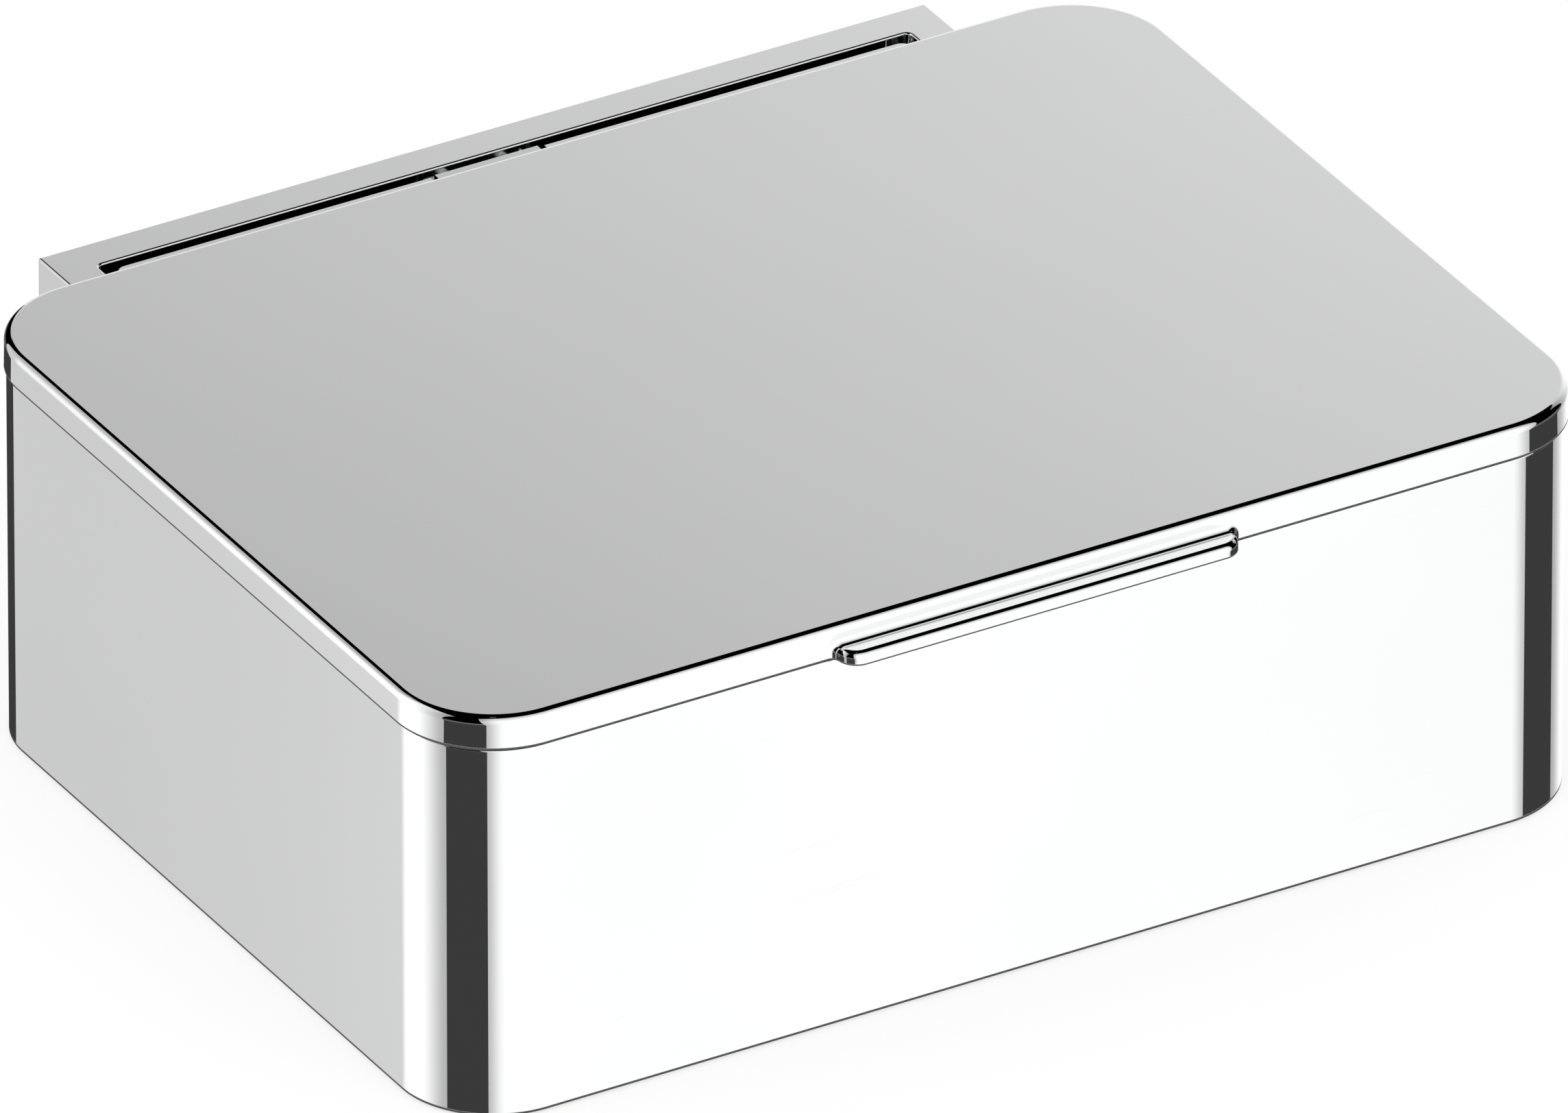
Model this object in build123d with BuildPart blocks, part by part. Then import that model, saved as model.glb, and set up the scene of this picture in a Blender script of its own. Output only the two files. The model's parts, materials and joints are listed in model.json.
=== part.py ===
from build123d import *
from math import hypot
import os

# Wipes dispenser: a chromed box with a loose inner tray, a sealed lid on a pin hinge,
# and the wall bracket that carries the box and the hinge.
# Millimetres, +Z up. The lid opens at its grip on the -Y side, and the wall stands at +Y.
# The origin is on the base plane, in the middle of the overall width and depth.

os.makedirs("parts", exist_ok=True)

# Body shell
body_width = 192.6
body_depth = 142.0
body_height = 61.1
body_corner = 15.3
body_wall = 1.5
body_floor = 1.5
base_edge_round = 0.3
rim_round = 0.4

# Lid cover, with its skirt drafted so that the lower edge is the widest
lid_overhang = 0.65
lid_gap = 0.4
lid_rise = 5.3
lid_wall = 1.5
lid_draft = 1.0
lid_top_round = 1.1
lid_edge_round = 0.25
lid_seat_drop = 1.3
lid_boss_radius = 3.2

# Grip ledge on the front of the lid
grip_width = 66.6
grip_reach = 3.9
grip_thickness = 2.15
grip_corner = 3.15
grip_nose_round = 1.0
grip_root_round = 1.15

# Wall bracket, its top flush with the rim of the body
bracket_width = 150.0
bracket_height = 50.0
bracket_depth = 16.9
bracket_side_wall = 2.5
bracket_front_wall = 2.3
bracket_base_wall = 4.0
trough_floor_wall = 2.6
bracket_edge_round = 0.35
pocket_corner = 3.0

# Hinge slot in the top of the bracket
slot_width = 137.3
slot_rear_wall = 6.2
slot_corner = 1.0
slot_lip_round = 0.35
trough_round = 1.5

# Hinge leaf and its barrels
leaf_end_gap = 1.45
leaf_rear_gap = 2.0
leaf_thickness = 2.0
leaf_flange_depth = 9.9
leaf_corner = 2.0
leaf_edge_round = 0.3
leaf_bend_round = 0.6
barrel_radius = 3.0
axis_drop = 3.2
hinge_clearance = 0.4
skirt_clearance = 0.5

# Centre knuckle, the fixed support of the hinge and the stop of the open lid
knuckle_width = 17.3
knuckle_offset = -4.1
knuckle_nose = 1.0
knuckle_rear = 3.4
knuckle_web_rise = 0.3
knuckle_edge_round = 0.25
stop_clearance = 0.3

# Pin and bushes
pin_radius = 1.5
pin_bite = 4.3
pin_chamfer = 0.3
press_clearance = 0.02
running_clearance = 0.05
bush_wall = 0.55
bush_length = 8.0
bush_flange_radius = 2.7
bush_inner_flange = 0.6
bush_end_play = 0.35

# Inner tray, its floor ribs and the pads that it stands on
tray_wall = 1.5
tray_draft = 1.0
tray_inset = 3.0
tray_rim_gap = 0.5
tray_rim_thickness = 1.5
tray_rim_drop = 1.0
tray_rear_shelf = 11.4
tray_corner = 14.0
tray_foot_round = 3.0
tray_rim_round = 0.4
tray_mouth_round = 0.8
rib_height = 0.8
rib_width = 2.0
rib_pitch = 22.0
rib_count = 5
pad_radius = 5.0
pad_thickness = 1.0
pad_margin = 24.0

# Inner lid and its seal
liner_thickness = 1.4
liner_gap = 0.5
liner_corner = 3.0
liner_edge_round = 0.4
seal_width = 2.6
seal_tongue = 1.6
seal_gap = 0.3
seal_land = 0.7
seal_bead_round = 0.4
seal_rib_wall = 0.7
seal_rib_drop = 1.1
seal_groove_depth = 1.7

# Wall plate
plate_thickness = 2.5
plate_flange_depth = 9.9
plate_side_gap = 0.3
plate_base_gap = 0.6
wall_hole_radius = 2.75
wall_hole_spacing = 100.0

# Screws and washers
screw_recess = 0.3
socket_depth = 1.2
body_screw_radius = 2.0
body_screw_head_radius = 3.6
body_screw_head = 2.2
body_screw_spacing = 110.0
body_screw_rise = 20.0
boss_radius = 4.0
boss_depth = 4.0
washer_radius = 4.5
washer_thickness = 0.8
grub_radius = 2.0
grub_spacing = 120.0
plug_length = 3.2
knuckle_screw_radius = 1.25
knuckle_screw_head_radius = 2.2
knuckle_screw_head = 1.4
knuckle_screw_spacing = 10.0
leaf_screw_radius = 1.5
leaf_screw_head_radius = 2.8
leaf_screw_spacing = 24.0
leaf_screw_count = 6
liner_screw_radius = 1.25
liner_screw_head_radius = 2.2
liner_screw_head = 1.2
liner_screw_margin = 22.0
screw_tip_skin = 0.8

# How near an edge's middle lies to the place it is picked by
pick_reach = 0.001

# Depth stations, from the wall forwards
overall_depth = grip_reach + lid_overhang + body_depth + bracket_depth
wall_y = overall_depth / 2
back_y = wall_y - bracket_depth
front_y = back_y - body_depth
body_mid_y = (front_y + back_y) / 2
slot_rear_y = wall_y - slot_rear_wall
leaf_rear_y = slot_rear_y - leaf_rear_gap
axis_y = leaf_rear_y - barrel_radius
riser_back_y = back_y - lid_wall - skirt_clearance
riser_front_y = riser_back_y - leaf_thickness
leaf_front_y = riser_back_y - leaf_flange_depth
leaf_screw_y = (leaf_front_y + riser_front_y) / 2

# Heights
bracket_top = body_height
bracket_base = bracket_top - bracket_height
lid_bottom = body_height + lid_gap
lid_top = lid_bottom + lid_rise
lid_underside = lid_top - lid_wall
seat_z = lid_underside - lid_seat_drop
grip_top = lid_bottom + grip_thickness
axis_z = bracket_top - axis_drop
leaf_under_z = bracket_top - leaf_thickness
notch_z = leaf_under_z - hinge_clearance

# Hinge: the flat top of the knuckle meets the cut edge of the leaf when the lid is up
stop_radius = hypot(knuckle_nose, axis_drop)
leaf_stop_y = axis_y - axis_drop - stop_clearance
trough_reach = max(barrel_radius, stop_radius) + hinge_clearance
trough_front_y = axis_y - trough_reach
trough_floor_z = axis_z - trough_reach
leaf_width = slot_width - 2 * leaf_end_gap
leaf_depth = leaf_rear_y - leaf_front_y
leaf_mid_y = (leaf_rear_y + leaf_front_y) / 2
knuckle_left = knuckle_offset - knuckle_width / 2
knuckle_right = knuckle_offset + knuckle_width / 2
barrel_gap = bush_end_play + bush_inner_flange
left_barrel_end = knuckle_left - barrel_gap
right_barrel_end = knuckle_right + barrel_gap
bush_bore = pin_radius + running_clearance
bush_radius = bush_bore + bush_wall
bush_outer_flange = leaf_end_gap - bush_end_play
pin_left = -slot_width / 2 - pin_bite
pin_right = bracket_width / 2 - screw_recess - plug_length

# Pocket at the back of the bracket
pocket_width = bracket_width - 2 * bracket_side_wall
pocket_base = bracket_base + bracket_base_wall
pocket_top = trough_floor_z - trough_floor_wall
pocket_height = pocket_top - pocket_base
pocket_mid_z = (pocket_top + pocket_base) / 2
pocket_front_y = back_y + bracket_front_wall
plate_width = pocket_width - 2 * plate_side_gap
plate_height = pocket_height - plate_base_gap
plate_base = pocket_top - plate_height
plate_mid_z = (pocket_top + plate_base) / 2

# Lid and inner tray
lid_width = body_width + 2 * lid_overhang
lid_depth = body_depth + lid_overhang
lid_mid_y = back_y - lid_depth / 2
lid_corner = body_corner + lid_overhang
skirt_front_y = front_y - lid_overhang
rim_top = body_height - tray_rim_drop
rim_width = body_width - 2 * (body_wall + tray_rim_gap)
rim_front_y = front_y + body_wall + tray_rim_gap
rim_rear_y = riser_front_y - tray_rim_gap
tray_base = body_floor + pad_thickness
tray_width = body_width - 2 * (body_wall + tray_inset)
tray_front_y = front_y + body_wall + tray_inset
tray_rear_y = rim_rear_y - tray_rear_shelf
tray_depth = tray_rear_y - tray_front_y
tray_mid_y = (tray_front_y + tray_rear_y) / 2

# Inner lid, and the seal that lies on the rim just outside the mouth of the tray
seal_line_width = tray_width + 2 * seal_land
seal_line_depth = tray_depth + 2 * seal_land
seal_line_corner = tray_corner + seal_land
seal_bottom = rim_top + seal_gap
liner_base = seat_z - liner_thickness
liner_rib_base = liner_base - seal_rib_drop
liner_width = lid_width - 2 * (lid_wall + liner_gap)
liner_front_y = skirt_front_y + lid_wall + liner_gap
liner_rear_y = leaf_front_y - liner_gap
groove_width = seal_tongue + 2 * press_clearance


def ring(width):
    """Draw the band of the given width that runs along the line of the seal."""
    with Locations((0, tray_mid_y)):
        RectangleRounded(
            seal_line_width + width, seal_line_depth + width, seal_line_corner + width / 2
        )
        RectangleRounded(
            seal_line_width - width,
            seal_line_depth - width,
            seal_line_corner - width / 2,
            mode=Mode.SUBTRACT,
        )


def edges_at(edges, axis, place):
    """Pick the edges whose middle lies at a place along an axis."""
    return edges.filter_by_position(axis, place - pick_reach, place + pick_reach)


def finish(piece, name):
    """Label a finished piece and write it as its own file."""
    piece.part.label = name
    export_step(piece.part, f"parts/{name}.step")


# Body shell: a straight-walled box with large corner rounds, notched for the hinge leaf
with BuildPart() as body_shell:
    with BuildSketch(Plane.XY):
        with Locations((0, body_mid_y)):
            RectangleRounded(body_width, body_depth, body_corner)
    extrude(amount=body_height)
    fillet(body_shell.edges().group_by(Axis.Z)[0], radius=base_edge_round)
    with BuildSketch(Plane.XY.offset(body_floor)):
        with Locations((0, body_mid_y)):
            RectangleRounded(
                body_width - 2 * body_wall, body_depth - 2 * body_wall, body_corner - body_wall
            )
    extrude(amount=body_height - body_floor, mode=Mode.SUBTRACT)
    fillet(body_shell.edges().group_by(Axis.Z)[-1], radius=rim_round)
    with BuildSketch(Plane.XZ.offset(-back_y)):
        with Locations((0, notch_z)):
            Rectangle(slot_width, body_height - notch_z, align=(Align.CENTER, Align.MIN))
        with Locations((0, pocket_mid_z)):
            with GridLocations(body_screw_spacing, body_screw_rise, 2, 2):
                Circle(body_screw_radius + running_clearance)
    extrude(amount=body_wall, mode=Mode.SUBTRACT)
finish(body_shell, "body_shell")


# Bracket housing: one casting with the hinge trough on top and a pocket behind for the plate
with BuildPart() as bracket_housing:
    with BuildSketch(Plane.XZ.offset(-wall_y)):
        with Locations((0, bracket_base)):
            Rectangle(bracket_width, bracket_height, align=(Align.CENTER, Align.MIN))
    extrude(amount=bracket_depth)
    exposed_edges = bracket_housing.edges().group_by(Axis.Y)[1:]
    fillet([edge for group in exposed_edges for edge in group], radius=bracket_edge_round)

    # Hinge trough, open at the top and through a notch towards the body
    with BuildSketch(Plane.YZ):
        with BuildLine():
            Polyline(
                (back_y, bracket_top),
                (back_y, notch_z),
                (trough_front_y, notch_z),
                (trough_front_y, trough_floor_z),
                (slot_rear_y, trough_floor_z),
                (slot_rear_y, bracket_top),
                close=True,
            )
        make_face()
    extrude(amount=slot_width / 2, both=True, mode=Mode.SUBTRACT)
    trough_edges = edges_at(
        bracket_housing.edges().filter_by(Axis.X), Axis.Z, trough_floor_z
    )
    fillet(trough_edges, radius=trough_round)
    slot_uprights = edges_at(
        bracket_housing.edges().filter_by(Axis.Z), Axis.Y, slot_rear_y
    )
    fillet(slot_uprights, radius=slot_corner)
    slot_lip = (
        edges_at(bracket_housing.edges(), Axis.Z, bracket_top)
        .filter_by_position(Axis.X, -slot_width / 2 - pick_reach, slot_width / 2 + pick_reach)
        .filter_by_position(Axis.Y, back_y + slot_corner, slot_rear_y + pick_reach)
    )
    fillet(slot_lip, radius=slot_lip_round)

    # Pocket with four screw bosses on its front wall
    with BuildSketch(Plane.XZ.offset(-wall_y)):
        with Locations((0, pocket_mid_z)):
            RectangleRounded(pocket_width, pocket_height, pocket_corner)
    extrude(amount=bracket_depth - bracket_front_wall, mode=Mode.SUBTRACT)
    with BuildSketch(Plane.XZ.offset(-pocket_front_y)):
        with Locations((0, pocket_mid_z)):
            with GridLocations(body_screw_spacing, body_screw_rise, 2, 2):
                Circle(boss_radius)
    extrude(amount=-boss_depth)
    with BuildSketch(Plane.XZ.offset(-back_y)):
        with Locations((0, pocket_mid_z)):
            with GridLocations(body_screw_spacing, body_screw_rise, 2, 2):
                Circle(body_screw_radius + press_clearance)
    extrude(amount=-bracket_front_wall - boss_depth, mode=Mode.SUBTRACT)

    # Pin bore, blind on the left and closed by the plug screw on the right
    with BuildSketch(Plane.YZ.offset(pin_left)):
        with Locations((axis_y, axis_z)):
            Circle(pin_radius + press_clearance)
    extrude(amount=bracket_width / 2 - pin_left, mode=Mode.SUBTRACT)
    with BuildSketch(Plane.YZ.offset(bracket_width / 2)):
        with Locations((axis_y, axis_z)):
            Circle(grub_radius + press_clearance)
    extrude(amount=-screw_recess - plug_length, mode=Mode.SUBTRACT)

    # Holes for the knuckle screws, sunk in the back, and for the grub screws in the base
    with BuildSketch(Plane.XZ.offset(-slot_rear_y)):
        with Locations((knuckle_offset, axis_z)):
            with GridLocations(knuckle_screw_spacing, 1, 2, 1):
                Circle(knuckle_screw_radius + running_clearance)
    extrude(amount=-slot_rear_wall, mode=Mode.SUBTRACT)
    with BuildSketch(Plane.XZ.offset(-wall_y)):
        with Locations((knuckle_offset, axis_z)):
            with GridLocations(knuckle_screw_spacing, 1, 2, 1):
                Circle(knuckle_screw_head_radius + running_clearance)
    extrude(amount=screw_recess + knuckle_screw_head, mode=Mode.SUBTRACT)
    with BuildSketch(Plane.XY.offset(bracket_base)):
        with Locations((0, wall_y - plate_flange_depth / 2)):
            with GridLocations(grub_spacing, 1, 2, 1):
                Circle(grub_radius + press_clearance)
    extrude(amount=bracket_base_wall, mode=Mode.SUBTRACT)
finish(bracket_housing, "bracket_housing")


# Wall plate: a shallow channel, screwed to the wall, that the housing is hung on
with BuildPart() as wall_plate:
    with BuildSketch(Plane.XZ.offset(-wall_y)):
        with Locations((0, plate_mid_z)):
            RectangleRounded(plate_width, plate_height, pocket_corner)
    extrude(amount=plate_flange_depth)
    with BuildSketch(Plane.XZ.offset(plate_thickness - wall_y)):
        with Locations((0, plate_mid_z)):
            Rectangle(plate_width, plate_height - 2 * plate_thickness)
    extrude(amount=plate_flange_depth - plate_thickness, mode=Mode.SUBTRACT)
    with BuildSketch(Plane.XZ.offset(-wall_y)):
        with Locations((0, plate_mid_z)):
            with GridLocations(wall_hole_spacing, 1, 2, 1):
                Circle(wall_hole_radius)
    extrude(amount=plate_thickness, mode=Mode.SUBTRACT)
finish(wall_plate, "wall_plate")


# Grub screws that press up on the plate from the base of the housing
grub_plane = Plane.XY.offset(bracket_base + screw_recess)
with BuildPart() as bracket_grub_screws:
    with BuildSketch(grub_plane):
        with Locations((0, wall_y - plate_flange_depth / 2)):
            with GridLocations(grub_spacing, 1, 2, 1):
                Circle(grub_radius)
    extrude(amount=plate_base - bracket_base - screw_recess)
    with BuildSketch(grub_plane):
        with Locations((0, wall_y - plate_flange_depth / 2)):
            with GridLocations(grub_spacing, 1, 2, 1):
                RegularPolygon(grub_radius / 2, 6)
    extrude(amount=socket_depth, mode=Mode.SUBTRACT)
finish(bracket_grub_screws, "bracket_grub_screws")


# Centre knuckle: a half barrel with a flat top, on a web that is screwed to the rear wall
with BuildPart() as centre_knuckle:
    with BuildSketch(Plane.YZ.offset(knuckle_offset)):
        with Locations((axis_y, axis_z)):
            Circle(stop_radius)
            Rectangle(knuckle_rear, axis_drop, align=(Align.MIN, Align.MIN))
            Rectangle(
                slot_rear_y - axis_y, trough_reach - trough_round, align=(Align.MIN, Align.MAX)
            )
            Rectangle(slot_rear_y - axis_y, knuckle_web_rise, align=(Align.MIN, Align.MIN))
        with Locations((axis_y, bracket_top)):
            Rectangle(
                2 * stop_radius,
                stop_radius,
                align=(Align.CENTER, Align.MIN),
                mode=Mode.SUBTRACT,
            )
    extrude(amount=knuckle_width / 2, both=True)
    knuckle_lip = (
        edges_at(centre_knuckle.edges().filter_by(Axis.X), Axis.Z, bracket_top)
        .sort_by(Axis.Y)[-1]
    )
    fillet(knuckle_lip, radius=knuckle_edge_round)
    with BuildSketch(Plane.YZ.offset(knuckle_left)):
        with Locations((axis_y, axis_z)):
            Circle(pin_radius + press_clearance)
    extrude(amount=knuckle_width, mode=Mode.SUBTRACT)
    with BuildSketch(Plane.XZ.offset(-slot_rear_y)):
        with Locations((knuckle_offset, axis_z)):
            with GridLocations(knuckle_screw_spacing, 1, 2, 1):
                Circle(knuckle_screw_radius + press_clearance)
    extrude(amount=slot_rear_y - axis_y - pin_radius - stop_clearance, mode=Mode.SUBTRACT)
finish(centre_knuckle, "centre_knuckle")


# Knuckle screws, with their heads sunk below the wall face
knuckle_head_y = wall_y - screw_recess
knuckle_tip_y = axis_y + pin_radius + 2 * stop_clearance
with BuildPart() as knuckle_screws:
    with BuildSketch(Plane.XZ.offset(-knuckle_head_y)):
        with Locations((knuckle_offset, axis_z)):
            with GridLocations(knuckle_screw_spacing, 1, 2, 1):
                Circle(knuckle_screw_radius)
    extrude(amount=knuckle_head_y - knuckle_tip_y)
    with BuildSketch(Plane.XZ.offset(-knuckle_head_y)):
        with Locations((knuckle_offset, axis_z)):
            with GridLocations(knuckle_screw_spacing, 1, 2, 1):
                Circle(knuckle_screw_head_radius)
    extrude(amount=knuckle_screw_head)
    with BuildSketch(Plane.XZ.offset(-knuckle_head_y)):
        with Locations((knuckle_offset, axis_z)):
            with GridLocations(knuckle_screw_spacing, 1, 2, 1):
                RegularPolygon(knuckle_screw_radius, 6)
    extrude(amount=socket_depth, mode=Mode.SUBTRACT)
finish(knuckle_screws, "knuckle_screws")


# Hinge pin, pushed in from the right
with BuildPart() as hinge_pin:
    with BuildSketch(Plane.YZ.offset(pin_left)):
        with Locations((axis_y, axis_z)):
            Circle(pin_radius)
    extrude(amount=pin_right - pin_left)
    chamfer(hinge_pin.edges().filter_by(GeomType.CIRCLE), length=pin_chamfer)
finish(hinge_pin, "hinge_pin")


# Plug screw that closes the pin bore
with BuildPart() as pin_plug_screw:
    with BuildSketch(Plane.YZ.offset(pin_right)):
        with Locations((axis_y, axis_z)):
            Circle(grub_radius)
    extrude(amount=plug_length)
    with BuildSketch(Plane.YZ.offset(pin_right + plug_length)):
        with Locations((axis_y, axis_z)):
            RegularPolygon(grub_radius / 2, 6)
    extrude(amount=-socket_depth, mode=Mode.SUBTRACT)
finish(pin_plug_screw, "pin_plug_screw")


# Hinge leaf: a cranked plate under the lid whose rear edge is thickened into two barrels
with BuildPart() as hinge_leaf:
    with BuildSketch(Plane.YZ) as leaf_section:
        with BuildLine():
            Polyline(
                (axis_y - barrel_radius, axis_z),
                (axis_y - barrel_radius, leaf_under_z),
                (riser_front_y, leaf_under_z),
                (riser_front_y, seat_z - leaf_thickness),
                (leaf_front_y, seat_z - leaf_thickness),
                (leaf_front_y, seat_z),
                (riser_back_y, seat_z),
                (riser_back_y, bracket_top),
                (leaf_rear_y, bracket_top),
                (leaf_rear_y, axis_z),
            )
            ThreePointArc(
                (leaf_rear_y, axis_z),
                (axis_y, axis_z - barrel_radius),
                (axis_y - barrel_radius, axis_z),
            )
        make_face()
        bends = leaf_section.vertices().filter_by_position(
            Axis.X, riser_front_y - pick_reach, riser_back_y + pick_reach
        )
        fillet(bends, radius=leaf_bend_round)
    extrude(amount=leaf_width / 2, both=True)
    with BuildSketch(Plane.XY.offset(trough_floor_z)):
        with Locations((0, leaf_mid_y)):
            RectangleRounded(leaf_width, leaf_depth, leaf_corner)
    extrude(amount=seat_z - trough_floor_z, mode=Mode.INTERSECT)
    tongue_edge = edges_at(hinge_leaf.edges(), Axis.Z, bracket_top).sort_by(Axis.Y)[-1]
    fillet(tongue_edge, radius=leaf_edge_round)

    # Gap for the centre knuckle
    with BuildSketch(Plane.XY.offset(trough_floor_z)):
        with Locations((left_barrel_end, leaf_stop_y)):
            Rectangle(
                right_barrel_end - left_barrel_end,
                leaf_rear_y - leaf_stop_y,
                align=(Align.MIN, Align.MIN),
            )
    extrude(amount=bracket_top - trough_floor_z, mode=Mode.SUBTRACT)

    # Clear bore through both barrels, widened at each barrel end for a bush
    with BuildSketch(Plane.YZ.offset(-leaf_width / 2)):
        with Locations((axis_y, axis_z)):
            Circle(pin_radius + stop_clearance)
    extrude(amount=leaf_width, mode=Mode.SUBTRACT)
    for seat_x in (-leaf_width / 2, right_barrel_end):
        with BuildSketch(Plane.YZ.offset(seat_x)):
            with Locations((axis_y, axis_z)):
                Circle(bush_radius + press_clearance)
        extrude(amount=bush_length, mode=Mode.SUBTRACT)
    for seat_x in (left_barrel_end, leaf_width / 2):
        with BuildSketch(Plane.YZ.offset(seat_x)):
            with Locations((axis_y, axis_z)):
                Circle(bush_radius + press_clearance)
        extrude(amount=-bush_length, mode=Mode.SUBTRACT)

    # Countersunk holes along the flange
    with Locations(Plane.XY.offset(seat_z - leaf_thickness)):
        with Locations(Location((0, leaf_screw_y, 0), (180, 0, 0))):
            with GridLocations(leaf_screw_spacing, 1, leaf_screw_count, 1):
                CounterSinkHole(
                    radius=leaf_screw_radius + running_clearance,
                    counter_sink_radius=leaf_screw_head_radius + running_clearance,
                    depth=leaf_thickness,
                    counter_sink_angle=90,
                )
finish(hinge_leaf, "hinge_leaf")


# Four flanged bushes, pressed into the barrel ends and running on the pin
bush_seats = {
    "bush_left_outer": (-leaf_width / 2, 1, bush_outer_flange),
    "bush_left_inner": (left_barrel_end, -1, bush_inner_flange),
    "bush_right_inner": (right_barrel_end, 1, bush_inner_flange),
    "bush_right_outer": (leaf_width / 2, -1, bush_outer_flange),
}
for bush_name, (seat_x, inward, flange) in bush_seats.items():
    with BuildPart() as bush:
        with BuildSketch(Plane.YZ.offset(seat_x)):
            with Locations((axis_y, axis_z)):
                Circle(bush_radius)
        extrude(amount=inward * bush_length)
        with BuildSketch(Plane.YZ.offset(seat_x)):
            with Locations((axis_y, axis_z)):
                Circle(bush_flange_radius)
        extrude(amount=-inward * flange)
        with BuildSketch(Plane.YZ.offset(seat_x - inward * flange)):
            with Locations((axis_y, axis_z)):
                Circle(bush_bore)
        extrude(amount=inward * (bush_length + flange), mode=Mode.SUBTRACT)
    finish(bush, bush_name)


# Lid cover: a shallow drafted cap with the grip ledge grown out of its front skirt
with BuildPart() as lid_cover:
    with BuildSketch(Plane.XY.offset(lid_bottom)):
        with Locations((0, lid_mid_y)):
            RectangleRounded(lid_width, lid_depth, lid_corner)
    extrude(amount=lid_rise, taper=lid_draft)
    fillet(lid_cover.edges().group_by(Axis.Z)[-1], radius=lid_top_round)
    with BuildSketch(Plane.XY.offset(lid_bottom)) as grip_plan:
        with Locations((0, skirt_front_y - grip_reach)):
            Rectangle(
                grip_width, grip_reach + lid_wall, align=(Align.CENTER, Align.MIN)
            )
        fillet(grip_plan.vertices().group_by(Axis.Y)[0], radius=grip_corner)
    extrude(amount=grip_thickness)
    grip_nose = edges_at(lid_cover.edges(), Axis.Z, grip_top).sort_by(Axis.Y)[0]
    fillet(grip_nose, radius=grip_nose_round)
    grip_root = (
        lid_cover.edges()
        .filter_by_position(Axis.X, -grip_width / 2 - pick_reach, grip_width / 2 + pick_reach)
        .filter_by_position(Axis.Z, lid_bottom + lid_edge_round, grip_top + lid_edge_round)
        .filter_by_position(Axis.Y, skirt_front_y - pick_reach, skirt_front_y + lid_edge_round)
    )
    fillet(grip_root, radius=grip_root_round)
    fillet(lid_cover.edges().group_by(Axis.Z)[0], radius=lid_edge_round)
    with BuildSketch(Plane.XY.offset(lid_bottom)):
        with Locations((0, lid_mid_y)):
            RectangleRounded(
                lid_width - 2 * lid_wall, lid_depth - 2 * lid_wall, lid_corner - lid_wall
            )
    extrude(amount=lid_rise - lid_wall, mode=Mode.SUBTRACT)

    # Bosses under the top for the leaf screws and the inner lid's screws
    with BuildSketch(Plane.XY.offset(seat_z)):
        with Locations((0, leaf_screw_y)):
            with GridLocations(leaf_screw_spacing, 1, leaf_screw_count, 1):
                Circle(lid_boss_radius)
        with Locations((0, tray_mid_y)):
            with GridLocations(
                seal_line_width - 2 * liner_screw_margin,
                seal_line_depth - 2 * liner_screw_margin,
                2,
                2,
            ):
                Circle(lid_boss_radius)
    extrude(amount=lid_seat_drop)
    with BuildSketch(Plane.XY.offset(seat_z)):
        with Locations((0, leaf_screw_y)):
            with GridLocations(leaf_screw_spacing, 1, leaf_screw_count, 1):
                Circle(leaf_screw_radius + press_clearance)
        with Locations((0, tray_mid_y)):
            with GridLocations(
                seal_line_width - 2 * liner_screw_margin,
                seal_line_depth - 2 * liner_screw_margin,
                2,
                2,
            ):
                Circle(liner_screw_radius + press_clearance)
    extrude(amount=lid_top - screw_tip_skin - seat_z, mode=Mode.SUBTRACT)
finish(lid_cover, "lid_cover")


# Leaf screws, countersunk flush with the underside of the leaf
leaf_screw_tip = lid_top - screw_tip_skin - press_clearance
leaf_screw_sink = leaf_screw_head_radius - leaf_screw_radius
leaf_screw_plane = Plane.XY.offset(seat_z - leaf_thickness)
with BuildPart() as leaf_screws:
    with BuildSketch(leaf_screw_plane):
        with Locations((0, leaf_screw_y)):
            with GridLocations(leaf_screw_spacing, 1, leaf_screw_count, 1):
                Circle(leaf_screw_radius)
    extrude(amount=leaf_screw_tip - seat_z + leaf_thickness)
    with BuildSketch(leaf_screw_plane):
        with Locations((0, leaf_screw_y)):
            with GridLocations(leaf_screw_spacing, 1, leaf_screw_count, 1):
                Circle(leaf_screw_head_radius)
    extrude(amount=leaf_screw_sink, taper=45)
    with BuildSketch(leaf_screw_plane):
        with Locations((0, leaf_screw_y)):
            with GridLocations(leaf_screw_spacing, 1, leaf_screw_count, 1):
                RegularPolygon(leaf_screw_radius * 0.7, 6)
    extrude(amount=socket_depth, mode=Mode.SUBTRACT)
finish(leaf_screws, "leaf_screws")


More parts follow.
